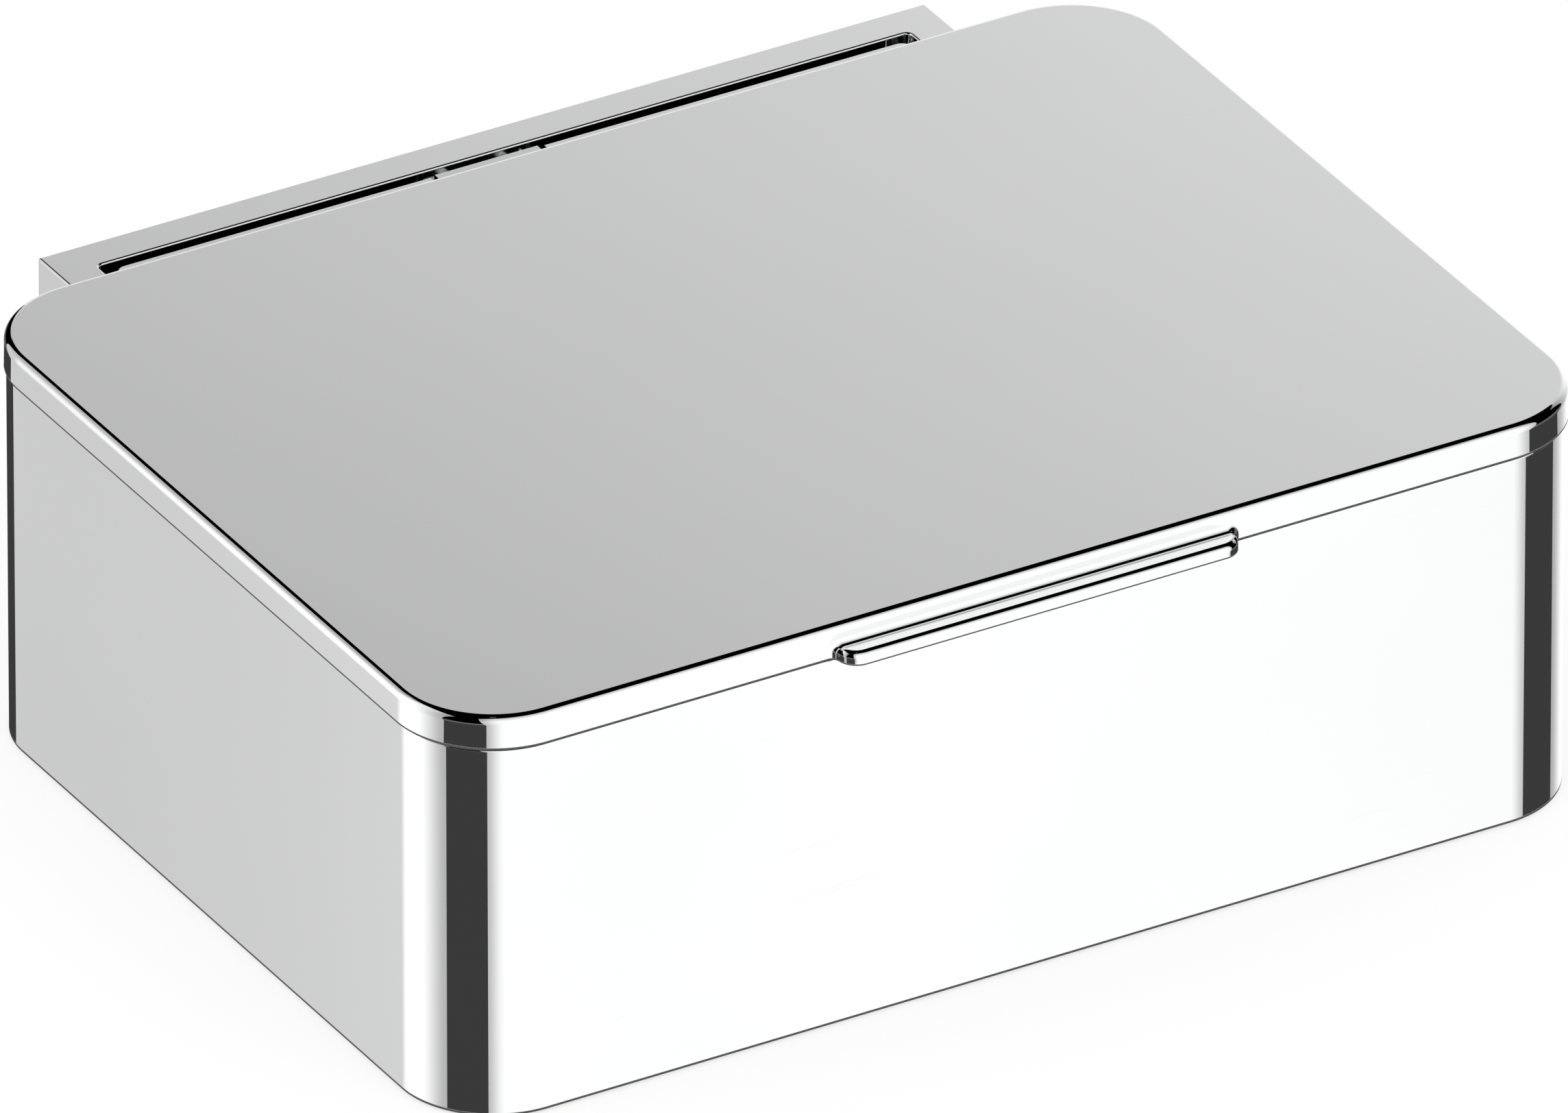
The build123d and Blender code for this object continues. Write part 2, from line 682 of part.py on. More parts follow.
# Inner lid: a plastic plate with a downward rib that carries the seal groove
with BuildPart() as lid_liner:
    with BuildSketch(Plane.XY.offset(liner_base)) as liner_plan:
        with Locations((0, liner_front_y)):
            Rectangle(
                liner_width, liner_rear_y - liner_front_y, align=(Align.CENTER, Align.MIN)
            )
        fillet(
            liner_plan.vertices().group_by(Axis.Y)[0],
            radius=lid_corner - lid_wall - liner_gap,
        )
        fillet(liner_plan.vertices().group_by(Axis.Y)[-1], radius=liner_corner)
    extrude(amount=liner_thickness)
    fillet(lid_liner.edges().group_by(Axis.Z)[0], radius=liner_edge_round)
    with BuildSketch(Plane.XY.offset(liner_rib_base)):
        ring(groove_width + 2 * seal_rib_wall)
    extrude(amount=seal_rib_drop)
    with BuildSketch(Plane.XY.offset(liner_rib_base)):
        ring(groove_width)
    extrude(amount=seal_groove_depth, mode=Mode.SUBTRACT)
    with BuildSketch(Plane.XY.offset(liner_base)):
        with Locations((0, tray_mid_y)):
            with GridLocations(
                seal_line_width - 2 * liner_screw_margin,
                seal_line_depth - 2 * liner_screw_margin,
                2,
                2,
            ):
                Circle(liner_screw_radius + running_clearance)
    extrude(amount=liner_thickness, mode=Mode.SUBTRACT)
finish(lid_liner, "lid_liner")


# Inner lid's screws
with BuildPart() as liner_screws:
    with BuildSketch(Plane.XY.offset(liner_base)):
        with Locations((0, tray_mid_y)):
            with GridLocations(
                seal_line_width - 2 * liner_screw_margin,
                seal_line_depth - 2 * liner_screw_margin,
                2,
                2,
            ):
                Circle(liner_screw_radius)
    extrude(amount=leaf_screw_tip - liner_base)
    with BuildSketch(Plane.XY.offset(liner_base - liner_screw_head)):
        with Locations((0, tray_mid_y)):
            with GridLocations(
                seal_line_width - 2 * liner_screw_margin,
                seal_line_depth - 2 * liner_screw_margin,
                2,
                2,
            ):
                Circle(liner_screw_head_radius)
    extrude(amount=liner_screw_head)
    with BuildSketch(Plane.XY.offset(liner_base - liner_screw_head)):
        with Locations((0, tray_mid_y)):
            with GridLocations(
                seal_line_width - 2 * liner_screw_margin,
                seal_line_depth - 2 * liner_screw_margin,
                2,
                2,
            ):
                RegularPolygon(liner_screw_radius, 6)
    extrude(amount=socket_depth, mode=Mode.SUBTRACT)
finish(liner_screws, "liner_screws")


# Lid seal: a soft bead on a tongue, held in the groove of the inner lid
with BuildPart() as lid_seal:
    with BuildSketch(Plane.XY.offset(seal_bottom)):
        ring(seal_width)
    extrude(amount=liner_rib_base - seal_bottom)
    fillet(lid_seal.edges().group_by(Axis.Z)[0], radius=seal_bead_round)
    with BuildSketch(Plane.XY.offset(liner_rib_base)):
        ring(seal_tongue)
    extrude(amount=seal_groove_depth - press_clearance)
finish(lid_seal, "lid_seal")


# Inner tray: a drafted tub with ribs on its floor and a wide rim that covers the body's mouth
with BuildPart() as tray_liner:
    with BuildSketch(Plane.XY.offset(rim_top)):
        with Locations((0, tray_mid_y)):
            RectangleRounded(tray_width, tray_depth, tray_corner)
    extrude(amount=tray_base - rim_top, taper=tray_draft)
    fillet(tray_liner.edges().group_by(Axis.Z)[0], radius=tray_foot_round)
    with BuildSketch(Plane.XY.offset(rim_top - tray_rim_thickness)):
        with Locations((0, (rim_front_y + rim_rear_y) / 2)):
            RectangleRounded(
                rim_width, rim_rear_y - rim_front_y, body_corner - body_wall - tray_rim_gap
            )
    extrude(amount=tray_rim_thickness)
    with BuildSketch(Plane.XY.offset(rim_top)):
        with Locations((0, tray_mid_y)):
            RectangleRounded(
                tray_width - 2 * tray_wall, tray_depth - 2 * tray_wall, tray_corner - tray_wall
            )
    extrude(amount=tray_base + tray_wall - rim_top, taper=tray_draft, mode=Mode.SUBTRACT)
    cavity_edges = edges_at(tray_liner.edges(), Axis.Z, tray_base + tray_wall)
    fillet(cavity_edges, radius=tray_foot_round - tray_wall)
    rim_face = tray_liner.faces().sort_by(Axis.Z)[-1]
    fillet(rim_face.outer_wire().edges(), radius=tray_rim_round)
    rim_face = tray_liner.faces().sort_by(Axis.Z)[-1]
    fillet(rim_face.inner_wires()[0].edges(), radius=tray_mouth_round)
    with BuildSketch(Plane.XY.offset(tray_base + tray_wall)):
        with Locations((0, tray_mid_y)):
            with GridLocations(1, rib_pitch, 1, rib_count):
                SlotOverall(tray_width - 2 * tray_corner, rib_width)
    extrude(amount=rib_height)
finish(tray_liner, "tray_liner")


# Four soft pads between the floor of the body and the tray
pad_sides = {"left": -1, "right": 1}
pad_rows = {"front": -1, "rear": 1}
for row_name, row in pad_rows.items():
    for side_name, side in pad_sides.items():
        pad_x = side * (tray_width / 2 - pad_margin)
        pad_y = tray_mid_y + row * (tray_depth / 2 - pad_margin)
        with BuildPart() as pad:
            with BuildSketch(Plane.XY.offset(body_floor)):
                with Locations((pad_x, pad_y)):
                    Circle(pad_radius)
            extrude(amount=pad_thickness)
        finish(pad, f"tray_pad_{row_name}_{side_name}")


# Washers and screws that hold the body on the bracket
body_inner_y = back_y - body_wall
with BuildPart() as body_washers:
    with BuildSketch(Plane.XZ.offset(-body_inner_y)):
        with Locations((0, pocket_mid_z)):
            with GridLocations(body_screw_spacing, body_screw_rise, 2, 2):
                Circle(washer_radius)
                Circle(body_screw_radius + running_clearance, mode=Mode.SUBTRACT)
    extrude(amount=washer_thickness)
finish(body_washers, "body_washers")

body_head_y = body_inner_y - washer_thickness
with BuildPart() as body_screws:
    with BuildSketch(Plane.XZ.offset(-body_head_y)):
        with Locations((0, pocket_mid_z)):
            with GridLocations(body_screw_spacing, body_screw_rise, 2, 2):
                Circle(body_screw_radius)
    extrude(amount=body_head_y - pocket_front_y - boss_depth)
    with BuildSketch(Plane.XZ.offset(-body_head_y)):
        with Locations((0, pocket_mid_z)):
            with GridLocations(body_screw_spacing, body_screw_rise, 2, 2):
                Circle(body_screw_head_radius)
    extrude(amount=body_screw_head)
    with BuildSketch(Plane.XZ.offset(body_screw_head - body_head_y)):
        with Locations((0, pocket_mid_z)):
            with GridLocations(body_screw_spacing, body_screw_rise, 2, 2):
                RegularPolygon(body_screw_radius * 0.75, 6)
    extrude(amount=-socket_depth, mode=Mode.SUBTRACT)
finish(body_screws, "body_screws")
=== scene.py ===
import bpy
import json
import numpy as np
from math import cos, radians, sin, tan
from mathutils import Matrix, Vector


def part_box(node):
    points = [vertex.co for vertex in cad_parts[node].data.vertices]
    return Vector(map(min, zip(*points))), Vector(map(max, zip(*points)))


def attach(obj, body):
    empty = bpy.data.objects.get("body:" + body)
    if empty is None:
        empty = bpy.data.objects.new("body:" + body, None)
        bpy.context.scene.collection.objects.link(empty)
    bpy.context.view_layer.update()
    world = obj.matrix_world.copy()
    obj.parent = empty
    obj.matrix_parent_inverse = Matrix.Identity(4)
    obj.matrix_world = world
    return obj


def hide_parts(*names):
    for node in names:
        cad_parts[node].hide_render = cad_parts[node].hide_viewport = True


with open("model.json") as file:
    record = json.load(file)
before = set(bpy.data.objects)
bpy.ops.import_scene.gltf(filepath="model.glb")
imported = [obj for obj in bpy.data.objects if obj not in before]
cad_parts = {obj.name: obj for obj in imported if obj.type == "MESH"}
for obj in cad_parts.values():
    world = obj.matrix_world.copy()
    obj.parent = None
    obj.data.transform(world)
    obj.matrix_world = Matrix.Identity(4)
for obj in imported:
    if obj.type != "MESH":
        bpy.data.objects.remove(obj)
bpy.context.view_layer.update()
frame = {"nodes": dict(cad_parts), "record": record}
print("frame loaded:", len(frame["nodes"]), "nodes")


# helpers for node trees

def addNode(tree, kind, inputs=None, **settings):
    # one node, with its own settings and the inputs that stay unlinked
    node = tree.nodes.new("ShaderNode" + kind)
    for key, value in settings.items():
        setattr(node, key, value)
    for key, value in (inputs or {}).items():
        node.inputs[key].default_value = value
    return node


def addMath(tree, operation, first, second=None):
    # a Math node; each operand is a socket or a number
    node = addNode(tree, "Math", operation=operation)
    for place, value in enumerate((first, second)):
        if value is None:
            continue
        if isinstance(value, (int, float)):
            node.inputs[place].default_value = value
        else:
            tree.links.new(value, node.inputs[place])
    return node.outputs[0]


def addRange(tree, value, fromMin, fromMax, toMin=0.0, toMax=1.0, smooth=True):
    # carries a value from one range to another, clamped, smooth or straight
    node = addNode(tree, "MapRange", interpolation_type="SMOOTHSTEP" if smooth else "LINEAR")
    tree.links.new(value, node.inputs["Value"])
    ends = {"From Min": fromMin, "From Max": fromMax, "To Min": toMin, "To Max": toMax}
    for key, number in ends.items():
        if isinstance(number, (int, float)):
            node.inputs[key].default_value = number
        else:
            tree.links.new(number, node.inputs[key])
    return node.outputs["Result"]


def addMix(tree, factor, first, second, blend="MIX"):
    # mixes two colours by a factor; each is a socket or a colour
    node = addNode(tree, "Mix", data_type="RGBA", blend_type=blend)
    sockets = {"Factor": node.inputs[0], "A": node.inputs[6], "B": node.inputs[7]}
    for key, value in (("Factor", factor), ("A", first), ("B", second)):
        if isinstance(value, (int, float, tuple)):
            sockets[key].default_value = value
        else:
            tree.links.new(value, sockets[key])
    return node.outputs[2]


def objectPlace(tree, turn=(0.0, 0.0, 0.0)):
    # Object coordinates, turned for a pattern
    place = addNode(tree, "TexCoord")
    mapping = addNode(tree, "Mapping", {"Rotation": turn})
    tree.links.new(place.outputs["Object"], mapping.inputs["Vector"])
    return mapping.outputs["Vector"]


def emptyTree(owner):
    # the node tree of a material or a world, with its first nodes taken out
    owner.use_nodes = True
    owner.node_tree.nodes.clear()
    return owner.node_tree


def newGroup(name, inputs, outputs):
    # an empty node group with named sockets; an input is (name, kind, value)
    group = bpy.data.node_groups.new(name, "ShaderNodeTree")
    for label, kind, value in inputs:
        socket = group.interface.new_socket(label, in_out="INPUT", socket_type="NodeSocket" + kind)
        if kind != "Vector":
            socket.default_value = value
    for label, kind in outputs:
        group.interface.new_socket(label, in_out="OUTPUT", socket_type="NodeSocket" + kind)
    entry = group.nodes.new("NodeGroupInput")
    leave = group.nodes.new("NodeGroupOutput")
    return group, entry.outputs, leave.inputs


def placeGroup(tree, group, vector, **values):
    # an effect group in a material, with that material's own values
    node = addNode(tree, "Group", node_tree=group)
    tree.links.new(vector, node.inputs["Vector"])
    for key, value in values.items():
        node.inputs[key].default_value = value
    return node.outputs


# effects that more than one finish uses

def makePolishHaze():
    # haze: slow noise clouds, times fine hairlines that noise stretched along X gives
    group, into, out = newGroup(
        "polishHaze",
        [("Vector", "Vector", None), ("Cloud Scale", "Float", 14.0), ("Hairline Scale", "Float", 900.0),
         ("Low Roughness", "Float", 0.02), ("High Roughness", "Float", 0.05)],
        [("Haze", "Float"), ("Roughness", "Float"), ("Height", "Float")])
    clouds = addNode(group, "TexNoise", {"Detail": 3.0, "Roughness": 0.55})
    group.links.new(into["Vector"], clouds.inputs["Vector"])
    group.links.new(into["Cloud Scale"], clouds.inputs["Scale"])
    stretch = addNode(group, "Mapping", {"Scale": (0.02, 1.0, 1.0), "Rotation": (0.0, 0.0, 0.3)})
    group.links.new(into["Vector"], stretch.inputs["Vector"])
    hairlines = addNode(group, "TexNoise", {"Detail": 2.0, "Roughness": 0.7})
    group.links.new(stretch.outputs["Vector"], hairlines.inputs["Vector"])
    group.links.new(into["Hairline Scale"], hairlines.inputs["Scale"])
    cloudMask = addRange(group, clouds.outputs["Fac"], 0.35, 0.7)
    lineMask = addRange(group, hairlines.outputs["Fac"], 0.62, 0.8)
    haze = addMath(group, "MAXIMUM", addMath(group, "MULTIPLY", cloudMask, 0.6), lineMask)
    group.links.new(haze, out["Haze"])
    rough = addRange(group, haze, 0.0, 1.0, into["Low Roughness"], into["High Roughness"], smooth=False)
    group.links.new(rough, out["Roughness"])
    group.links.new(clouds.outputs["Fac"], out["Height"])
    return group


def makeBrushedGrain():
    # grain: noise stretched along X, fine strokes and broad ones added
    group, into, out = newGroup(
        "brushedGrain",
        [("Vector", "Vector", None), ("Stroke Scale", "Float", 1600.0), ("Contrast", "Float", 0.5)],
        [("Grain", "Float"), ("Height", "Float")])
    stretch = addNode(group, "Mapping", {"Scale": (0.03, 1.0, 1.0)})
    group.links.new(into["Vector"], stretch.inputs["Vector"])
    fine = addNode(group, "TexNoise", {"Detail": 4.0, "Roughness": 0.6})
    group.links.new(stretch.outputs["Vector"], fine.inputs["Vector"])
    group.links.new(into["Stroke Scale"], fine.inputs["Scale"])
    broad = addNode(group, "TexNoise", {"Detail": 2.0})
    group.links.new(stretch.outputs["Vector"], broad.inputs["Vector"])
    group.links.new(addMath(group, "MULTIPLY", into["Stroke Scale"], 0.12), broad.inputs["Scale"])
    both = addMath(group, "ADD", addMath(group, "MULTIPLY", fine.outputs["Fac"], 0.65),
                   addMath(group, "MULTIPLY", broad.outputs["Fac"], 0.35))
    centred = addMath(group, "MULTIPLY", addMath(group, "SUBTRACT", both, 0.5), into["Contrast"])
    group.links.new(addMath(group, "ADD", centred, 0.5), out["Grain"])
    group.links.new(both, out["Height"])
    return group


def makeSpangle():
    # spangle: Voronoi cells give each zinc crystal its own shade
    group, into, out = newGroup(
        "zincSpangle", [("Vector", "Vector", None), ("Crystal Scale", "Float", 240.0)],
        [("Shade", "Float"), ("Height", "Float")])
    cells = addNode(group, "TexVoronoi", {"Randomness": 1.0}, feature="F1")
    group.links.new(into["Vector"], cells.inputs["Vector"])
    group.links.new(into["Crystal Scale"], cells.inputs["Scale"])
    split = addNode(group, "SeparateColor")
    group.links.new(cells.outputs["Color"], split.inputs["Color"])
    group.links.new(split.outputs[0], out["Shade"])
    group.links.new(cells.outputs["Distance"], out["Height"])
    return group


def makeMouldSkin():
    # skin: fine bead grain on slow clouds, as a spark-eroded mould leaves
    group, into, out = newGroup(
        "mouldSkin",
        [("Vector", "Vector", None), ("Bead Scale", "Float", 2600.0), ("Cloud Scale", "Float", 26.0)],
        [("Cloud", "Float"), ("Bead", "Float"), ("Height", "Float")])
    beads = addNode(group, "TexVoronoi", {"Randomness": 1.0}, feature="SMOOTH_F1")
    group.links.new(into["Vector"], beads.inputs["Vector"])
    group.links.new(into["Bead Scale"], beads.inputs["Scale"])
    clouds = addNode(group, "TexNoise", {"Detail": 4.0, "Roughness": 0.6})
    group.links.new(into["Vector"], clouds.inputs["Vector"])
    group.links.new(into["Cloud Scale"], clouds.inputs["Scale"])
    group.links.new(addRange(group, clouds.outputs["Fac"], 0.3, 0.7), out["Cloud"])
    group.links.new(beads.outputs["Distance"], out["Bead"])
    slow = addMath(group, "MULTIPLY", clouds.outputs["Fac"], 0.4)
    group.links.new(addMath(group, "ADD", beads.outputs["Distance"], slow), out["Height"])
    return group


def makeRubBand():
    # rub: a soft band round one height, broken up by noise, where pieces touch each other
    group, into, out = newGroup(
        "rubBand",
        [("Vector", "Vector", None), ("Height Level", "Float", 0.0), ("Spread", "Float", 0.001),
         ("Breakup Scale", "Float", 300.0)],
        [("Rub", "Float")])
    split = addNode(group, "SeparateXYZ")
    group.links.new(into["Vector"], split.inputs["Vector"])
    away = addMath(group, "ABSOLUTE", addMath(group, "SUBTRACT", split.outputs["Z"], into["Height Level"]))
    near = addRange(group, away, into["Spread"], 0.0)
    broken = addNode(group, "TexNoise", {"Detail": 5.0, "Roughness": 0.65})
    group.links.new(into["Vector"], broken.inputs["Vector"])
    group.links.new(into["Breakup Scale"], broken.inputs["Scale"])
    rub = addMath(group, "MULTIPLY", near, addRange(group, broken.outputs["Fac"], 0.4, 0.62))
    group.links.new(rub, out["Rub"])
    return group


def makeShadeLine():
    # painted shade line: a thin band just above one height, along a lower edge, standing in for the shade
    # where parts meet
    group, into, out = newGroup(
        "edgeLine",
        [("Vector", "Vector", None), ("Edge Height", "Float", 0.0), ("Width", "Float", 0.0004)],
        [("Line", "Float")])
    split = addNode(group, "SeparateXYZ")
    group.links.new(into["Vector"], split.inputs["Vector"])
    above = addMath(group, "SUBTRACT", split.outputs["Z"], into["Edge Height"])
    soft = addMath(group, "MULTIPLY", into["Width"], 0.75)
    group.links.new(addRange(group, above, into["Width"], soft), out["Line"])
    return group


effects = {
    "polish": makePolishHaze(),
    "edge": makeShadeLine(),
    "brushed": makeBrushedGrain(),
    "spangle": makeSpangle(),
    "skin": makeMouldSkin(),
    "rub": makeRubBand(),
}
print("effects ready:", ", ".join(effects))


def newMaterial(name):
    # a material with its tree and the shader that it starts with
    material = bpy.data.materials.new(name)
    material.use_nodes = True
    tree = material.node_tree
    return material, tree, tree.nodes["Principled BSDF"]


def addBump(tree, shader, height, strength, distance):
    # the last touch of each finish: height becomes the shader's normal
    bump = addNode(tree, "Bump", {"Strength": strength, "Distance": distance})
    tree.links.new(height, bump.inputs["Height"])
    tree.links.new(bump.outputs["Normal"], shader.inputs["Normal"])


# chrome on the shell, the lid, the bracket and the hinge leaf
# edgeHeight and edgeWidth place the painted shade line along a lower edge; wave is the strength of the bump

chromeFinishes = {
    "shellChrome": {"bright": (0.93, 0.932, 0.935, 1.0), "hazy": (0.905, 0.908, 0.912, 1.0),
                    "cloudScale": 11.0, "hairlineScale": 1100.0, "turn": (0.0, 0.0, 0.0),
                    "rough": (0.012, 0.028), "wave": 0.004, "edgeHeight": 0.0, "edgeWidth": 0.0005},
    "lidChrome": {"bright": (0.93, 0.932, 0.935, 1.0), "hazy": (0.91, 0.913, 0.917, 1.0),
                  "cloudScale": 9.0, "hairlineScale": 1300.0, "turn": (0.0, 0.0, 0.25),
                  "rough": (0.012, 0.026), "wave": 0.004,
                  "edgeHeight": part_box("lid_cover")[0].z, "edgeWidth": 0.0004},
    "bracketChrome": {"bright": (0.93, 0.932, 0.935, 1.0), "hazy": (0.9, 0.903, 0.908, 1.0),
                      "cloudScale": 17.0, "hairlineScale": 1000.0, "turn": (0.0, 0.0, 0.0),
                      "rough": (0.012, 0.03), "wave": 0.003},
    "leafChrome": {"bright": (0.925, 0.928, 0.932, 1.0), "hazy": (0.885, 0.889, 0.895, 1.0),
                   "cloudScale": 30.0, "hairlineScale": 1400.0, "turn": (0.0, 0.0, 0.0),
                   "rough": (0.014, 0.04), "wave": 0.003},
}

# painted shade: along the lower edges of the lid and the shell a dull dark line stands in place of the
# mirror, for the shade where the lid meets the shell and the shell meets the floor
shadeLineSpec = {"tone": (0.1, 0.1, 0.102, 1.0), "rough": 0.6, "gloss": 0.1}


def makeChrome(name, finish):
    # chrome plate: a mirror whose brightness and sharpness fall a little where it is hazy, with a painted
    # shade line along its lower edge where a finish places one
    material, tree, shader = newMaterial(name)
    vector = objectPlace(tree, turn=finish["turn"])
    low, high = finish["rough"]
    haze = placeGroup(tree, effects["polish"], vector, **{
        "Cloud Scale": finish["cloudScale"], "Hairline Scale": finish["hairlineScale"],
        "Low Roughness": low, "High Roughness": high})
    tone = addMix(tree, haze["Haze"], finish["bright"], finish["hazy"])
    rough = haze["Roughness"]
    shader.inputs["Metallic"].default_value = 1.0
    # painted shade: a dull dark line along the lower edge replaces the mirror
    if "edgeWidth" in finish:
        line = placeGroup(tree, effects["edge"], vector, **{
            "Edge Height": finish["edgeHeight"], "Width": finish["edgeWidth"]})["Line"]
        tone = addMix(tree, line, tone, shadeLineSpec["tone"])
        rough = addMath(tree, "MAXIMUM", rough, addMath(tree, "MULTIPLY", line, shadeLineSpec["rough"]))
        tree.links.new(addMath(tree, "SUBTRACT", 1.0, line), shader.inputs["Metallic"])
        shader.inputs["Specular IOR Level"].default_value = shadeLineSpec["gloss"]
    tree.links.new(tone, shader.inputs["Base Color"])
    tree.links.new(rough, shader.inputs["Roughness"])
    addBump(tree, shader, haze["Height"], finish["wave"], 0.001)
    return material


# bare and plated steel on the pin, the knuckle, the plate, the screws and the washers

steelFinishes = {
    "pinSteel": {"light": (0.66, 0.665, 0.67, 1.0), "dark": (0.5, 0.505, 0.515, 1.0),
                 "strokeScale": 2600.0, "turn": (0.0, 0.0, 1.5708), "rough": (0.16, 0.26), "bump": 0.1},
    "knuckleSteel": {"light": (0.86, 0.863, 0.867, 1.0), "dark": (0.8, 0.804, 0.81, 1.0),
                     "strokeScale": 1900.0, "turn": (0.0, 0.0, 0.0), "rough": (0.035, 0.08), "bump": 0.02},
    "screwSteel": {"light": (0.64, 0.645, 0.65, 1.0), "dark": (0.44, 0.445, 0.455, 1.0),
                   "strokeScale": 3200.0, "turn": (0.0, 0.0, 0.8), "rough": (0.2, 0.34), "bump": 0.12},
    "washerSteel": {"light": (0.68, 0.685, 0.69, 1.0), "dark": (0.52, 0.525, 0.53, 1.0),
                    "strokeScale": 2200.0, "turn": (0.0, 0.0, 0.4), "rough": (0.22, 0.36), "bump": 0.1},
}


def makeSteel(name, finish):
    # ground steel: strokes lighten and darken it, and the dark strokes are the rougher ones
    material, tree, shader = newMaterial(name)
    vector = objectPlace(tree, turn=finish["turn"])
    grain = placeGroup(tree, effects["brushed"], vector, **{
        "Stroke Scale": finish["strokeScale"], "Contrast": 1.4})
    smooth, coarse = finish["rough"]
    tree.links.new(addMix(tree, grain["Grain"], finish["dark"], finish["light"]), shader.inputs["Base Color"])
    tree.links.new(addRange(tree, grain["Grain"], 0.0, 1.0, coarse, smooth), shader.inputs["Roughness"])
    shader.inputs["Metallic"].default_value = 1.0
    addBump(tree, shader, grain["Height"], finish["bump"], 0.0003)
    return material


plateFinish = {"light": (0.62, 0.63, 0.635, 1.0), "dark": (0.44, 0.45, 0.46, 1.0),
               "crystalScale": 260.0, "strokeScale": 900.0, "rough": (0.3, 0.46), "bump": 0.15}


def makePlateSteel(name, finish):
    # zinc on sheet steel: crystal shades, with the rolled sheet's strokes showing through
    material, tree, shader = newMaterial(name)
    vector = objectPlace(tree)
    crystals = placeGroup(tree, effects["spangle"], vector, **{"Crystal Scale": finish["crystalScale"]})
    strokes = placeGroup(tree, effects["brushed"], vector, **{"Stroke Scale": finish["strokeScale"]})
    shade = addMath(tree, "ADD", addMath(tree, "MULTIPLY", crystals["Shade"], 0.6),
                    addMath(tree, "MULTIPLY", strokes["Grain"], 0.4))
    smooth, coarse = finish["rough"]
    tree.links.new(addMix(tree, shade, finish["dark"], finish["light"]), shader.inputs["Base Color"])
    tree.links.new(addRange(tree, shade, 0.0, 1.0, smooth, coarse), shader.inputs["Roughness"])
    shader.inputs["Metallic"].default_value = 1.0
    addBump(tree, shader, strokes["Height"], finish["bump"], 0.0003)
    return material


# plastics of the tray, the inner lid and the hinge bushes

plasticFinishes = {
    "trayPlastic": {"light": (0.8, 0.8, 0.79, 1.0), "dark": (0.74, 0.74, 0.73, 1.0),
                    "rubbed": (0.88, 0.88, 0.875, 1.0), "beadScale": 2300.0, "cloudScale": 24.0,
                    "rubLevel": 0.059, "rubSpread": 0.0016, "rough": (0.34, 0.46), "bump": 0.12},
    "linerPlastic": {"light": (0.78, 0.78, 0.775, 1.0), "dark": (0.71, 0.71, 0.705, 1.0),
                     "rubbed": (0.86, 0.86, 0.855, 1.0), "beadScale": 2700.0, "cloudScale": 30.0,
                     "rubLevel": 0.0615, "rubSpread": 0.0012, "rough": (0.36, 0.5), "bump": 0.12},
    "bushPlastic": {"light": (0.05, 0.05, 0.053, 1.0), "dark": (0.022, 0.022, 0.024, 1.0),
                    "rubbed": (0.12, 0.12, 0.12, 1.0), "beadScale": 3600.0, "cloudScale": 160.0,
                    "rubLevel": 0.0579, "rubSpread": 0.0014, "rough": (0.28, 0.42), "bump": 0.1},
}


def makePlastic(name, finish):
    # moulded plastic: clouded colour, beads in the skin, and paler where a rim is rubbed
    material, tree, shader = newMaterial(name)
    vector = objectPlace(tree)
    skin = placeGroup(tree, effects["skin"], vector, **{
        "Bead Scale": finish["beadScale"], "Cloud Scale": finish["cloudScale"]})
    rub = placeGroup(tree, effects["rub"], vector, **{
        "Height Level": finish["rubLevel"], "Spread": finish["rubSpread"], "Breakup Scale": 420.0})
    clouded = addMix(tree, skin["Cloud"], finish["dark"], finish["light"])
    tree.links.new(addMix(tree, rub["Rub"], clouded, finish["rubbed"]), shader.inputs["Base Color"])
    smooth, coarse = finish["rough"]
    tree.links.new(addRange(tree, skin["Bead"], 0.0, 0.8, coarse, smooth), shader.inputs["Roughness"])
    shader.inputs["IOR"].default_value = 1.47
    addBump(tree, shader, skin["Height"], finish["bump"], 0.0002)
    return material


# silicone of the pads and the lid's seal

siliconeFinishes = {
    "padSilicone": {"light": (0.42, 0.43, 0.44, 1.0), "dark": (0.31, 0.32, 0.33, 1.0),
                    "beadScale": 1500.0, "cloudScale": 180.0, "rough": (0.5, 0.68), "sheen": 0.25},
    "sealSilicone": {"light": (0.6, 0.61, 0.62, 1.0), "dark": (0.5, 0.51, 0.52, 1.0),
                     "beadScale": 1800.0, "cloudScale": 60.0, "rough": (0.46, 0.62), "sheen": 0.3},
}


def makeSilicone(name, finish):
    # silicone: a soft matt skin that lightens in clouds and keeps a dusty sheen
    material, tree, shader = newMaterial(name)
    vector = objectPlace(tree)
    skin = placeGroup(tree, effects["skin"], vector, **{
        "Bead Scale": finish["beadScale"], "Cloud Scale": finish["cloudScale"]})
    smooth, coarse = finish["rough"]
    tree.links.new(addMix(tree, skin["Cloud"], finish["dark"], finish["light"]), shader.inputs["Base Color"])
    tree.links.new(addRange(tree, skin["Cloud"], 0.0, 1.0, coarse, smooth), shader.inputs["Roughness"])
    shader.inputs["Sheen Weight"].default_value = finish["sheen"]
    shader.inputs["Sheen Roughness"].default_value = 0.5
    addBump(tree, shader, skin["Height"], 0.15, 0.0002)
    return material


finishes = {name: makeChrome(name, look) for name, look in chromeFinishes.items()}
finishes.update({name: makeSteel(name, look) for name, look in steelFinishes.items()})
finishes["plateSteel"] = makePlateSteel("plateSteel", plateFinish)
finishes.update({name: makePlastic(name, look) for name, look in plasticFinishes.items()})
finishes.update({name: makeSilicone(name, look) for name, look in siliconeFinishes.items()})
print("finishes ready:", len(finishes))


def finishOf(slot):
    # the finish that a slot of the record names, shell_chrome as shellChrome
    first, *others = slot.split("_")
    return finishes[first + "".join(word.capitalize() for word in others)]


for subpart in frame["record"]["subparts"]:
    slots = frame["nodes"][subpart["node"]].data.materials
    slots.clear()
    slots.append(finishOf(subpart["material_slot"]))
print("finishes on all nodes")


# surfaces of the new pieces

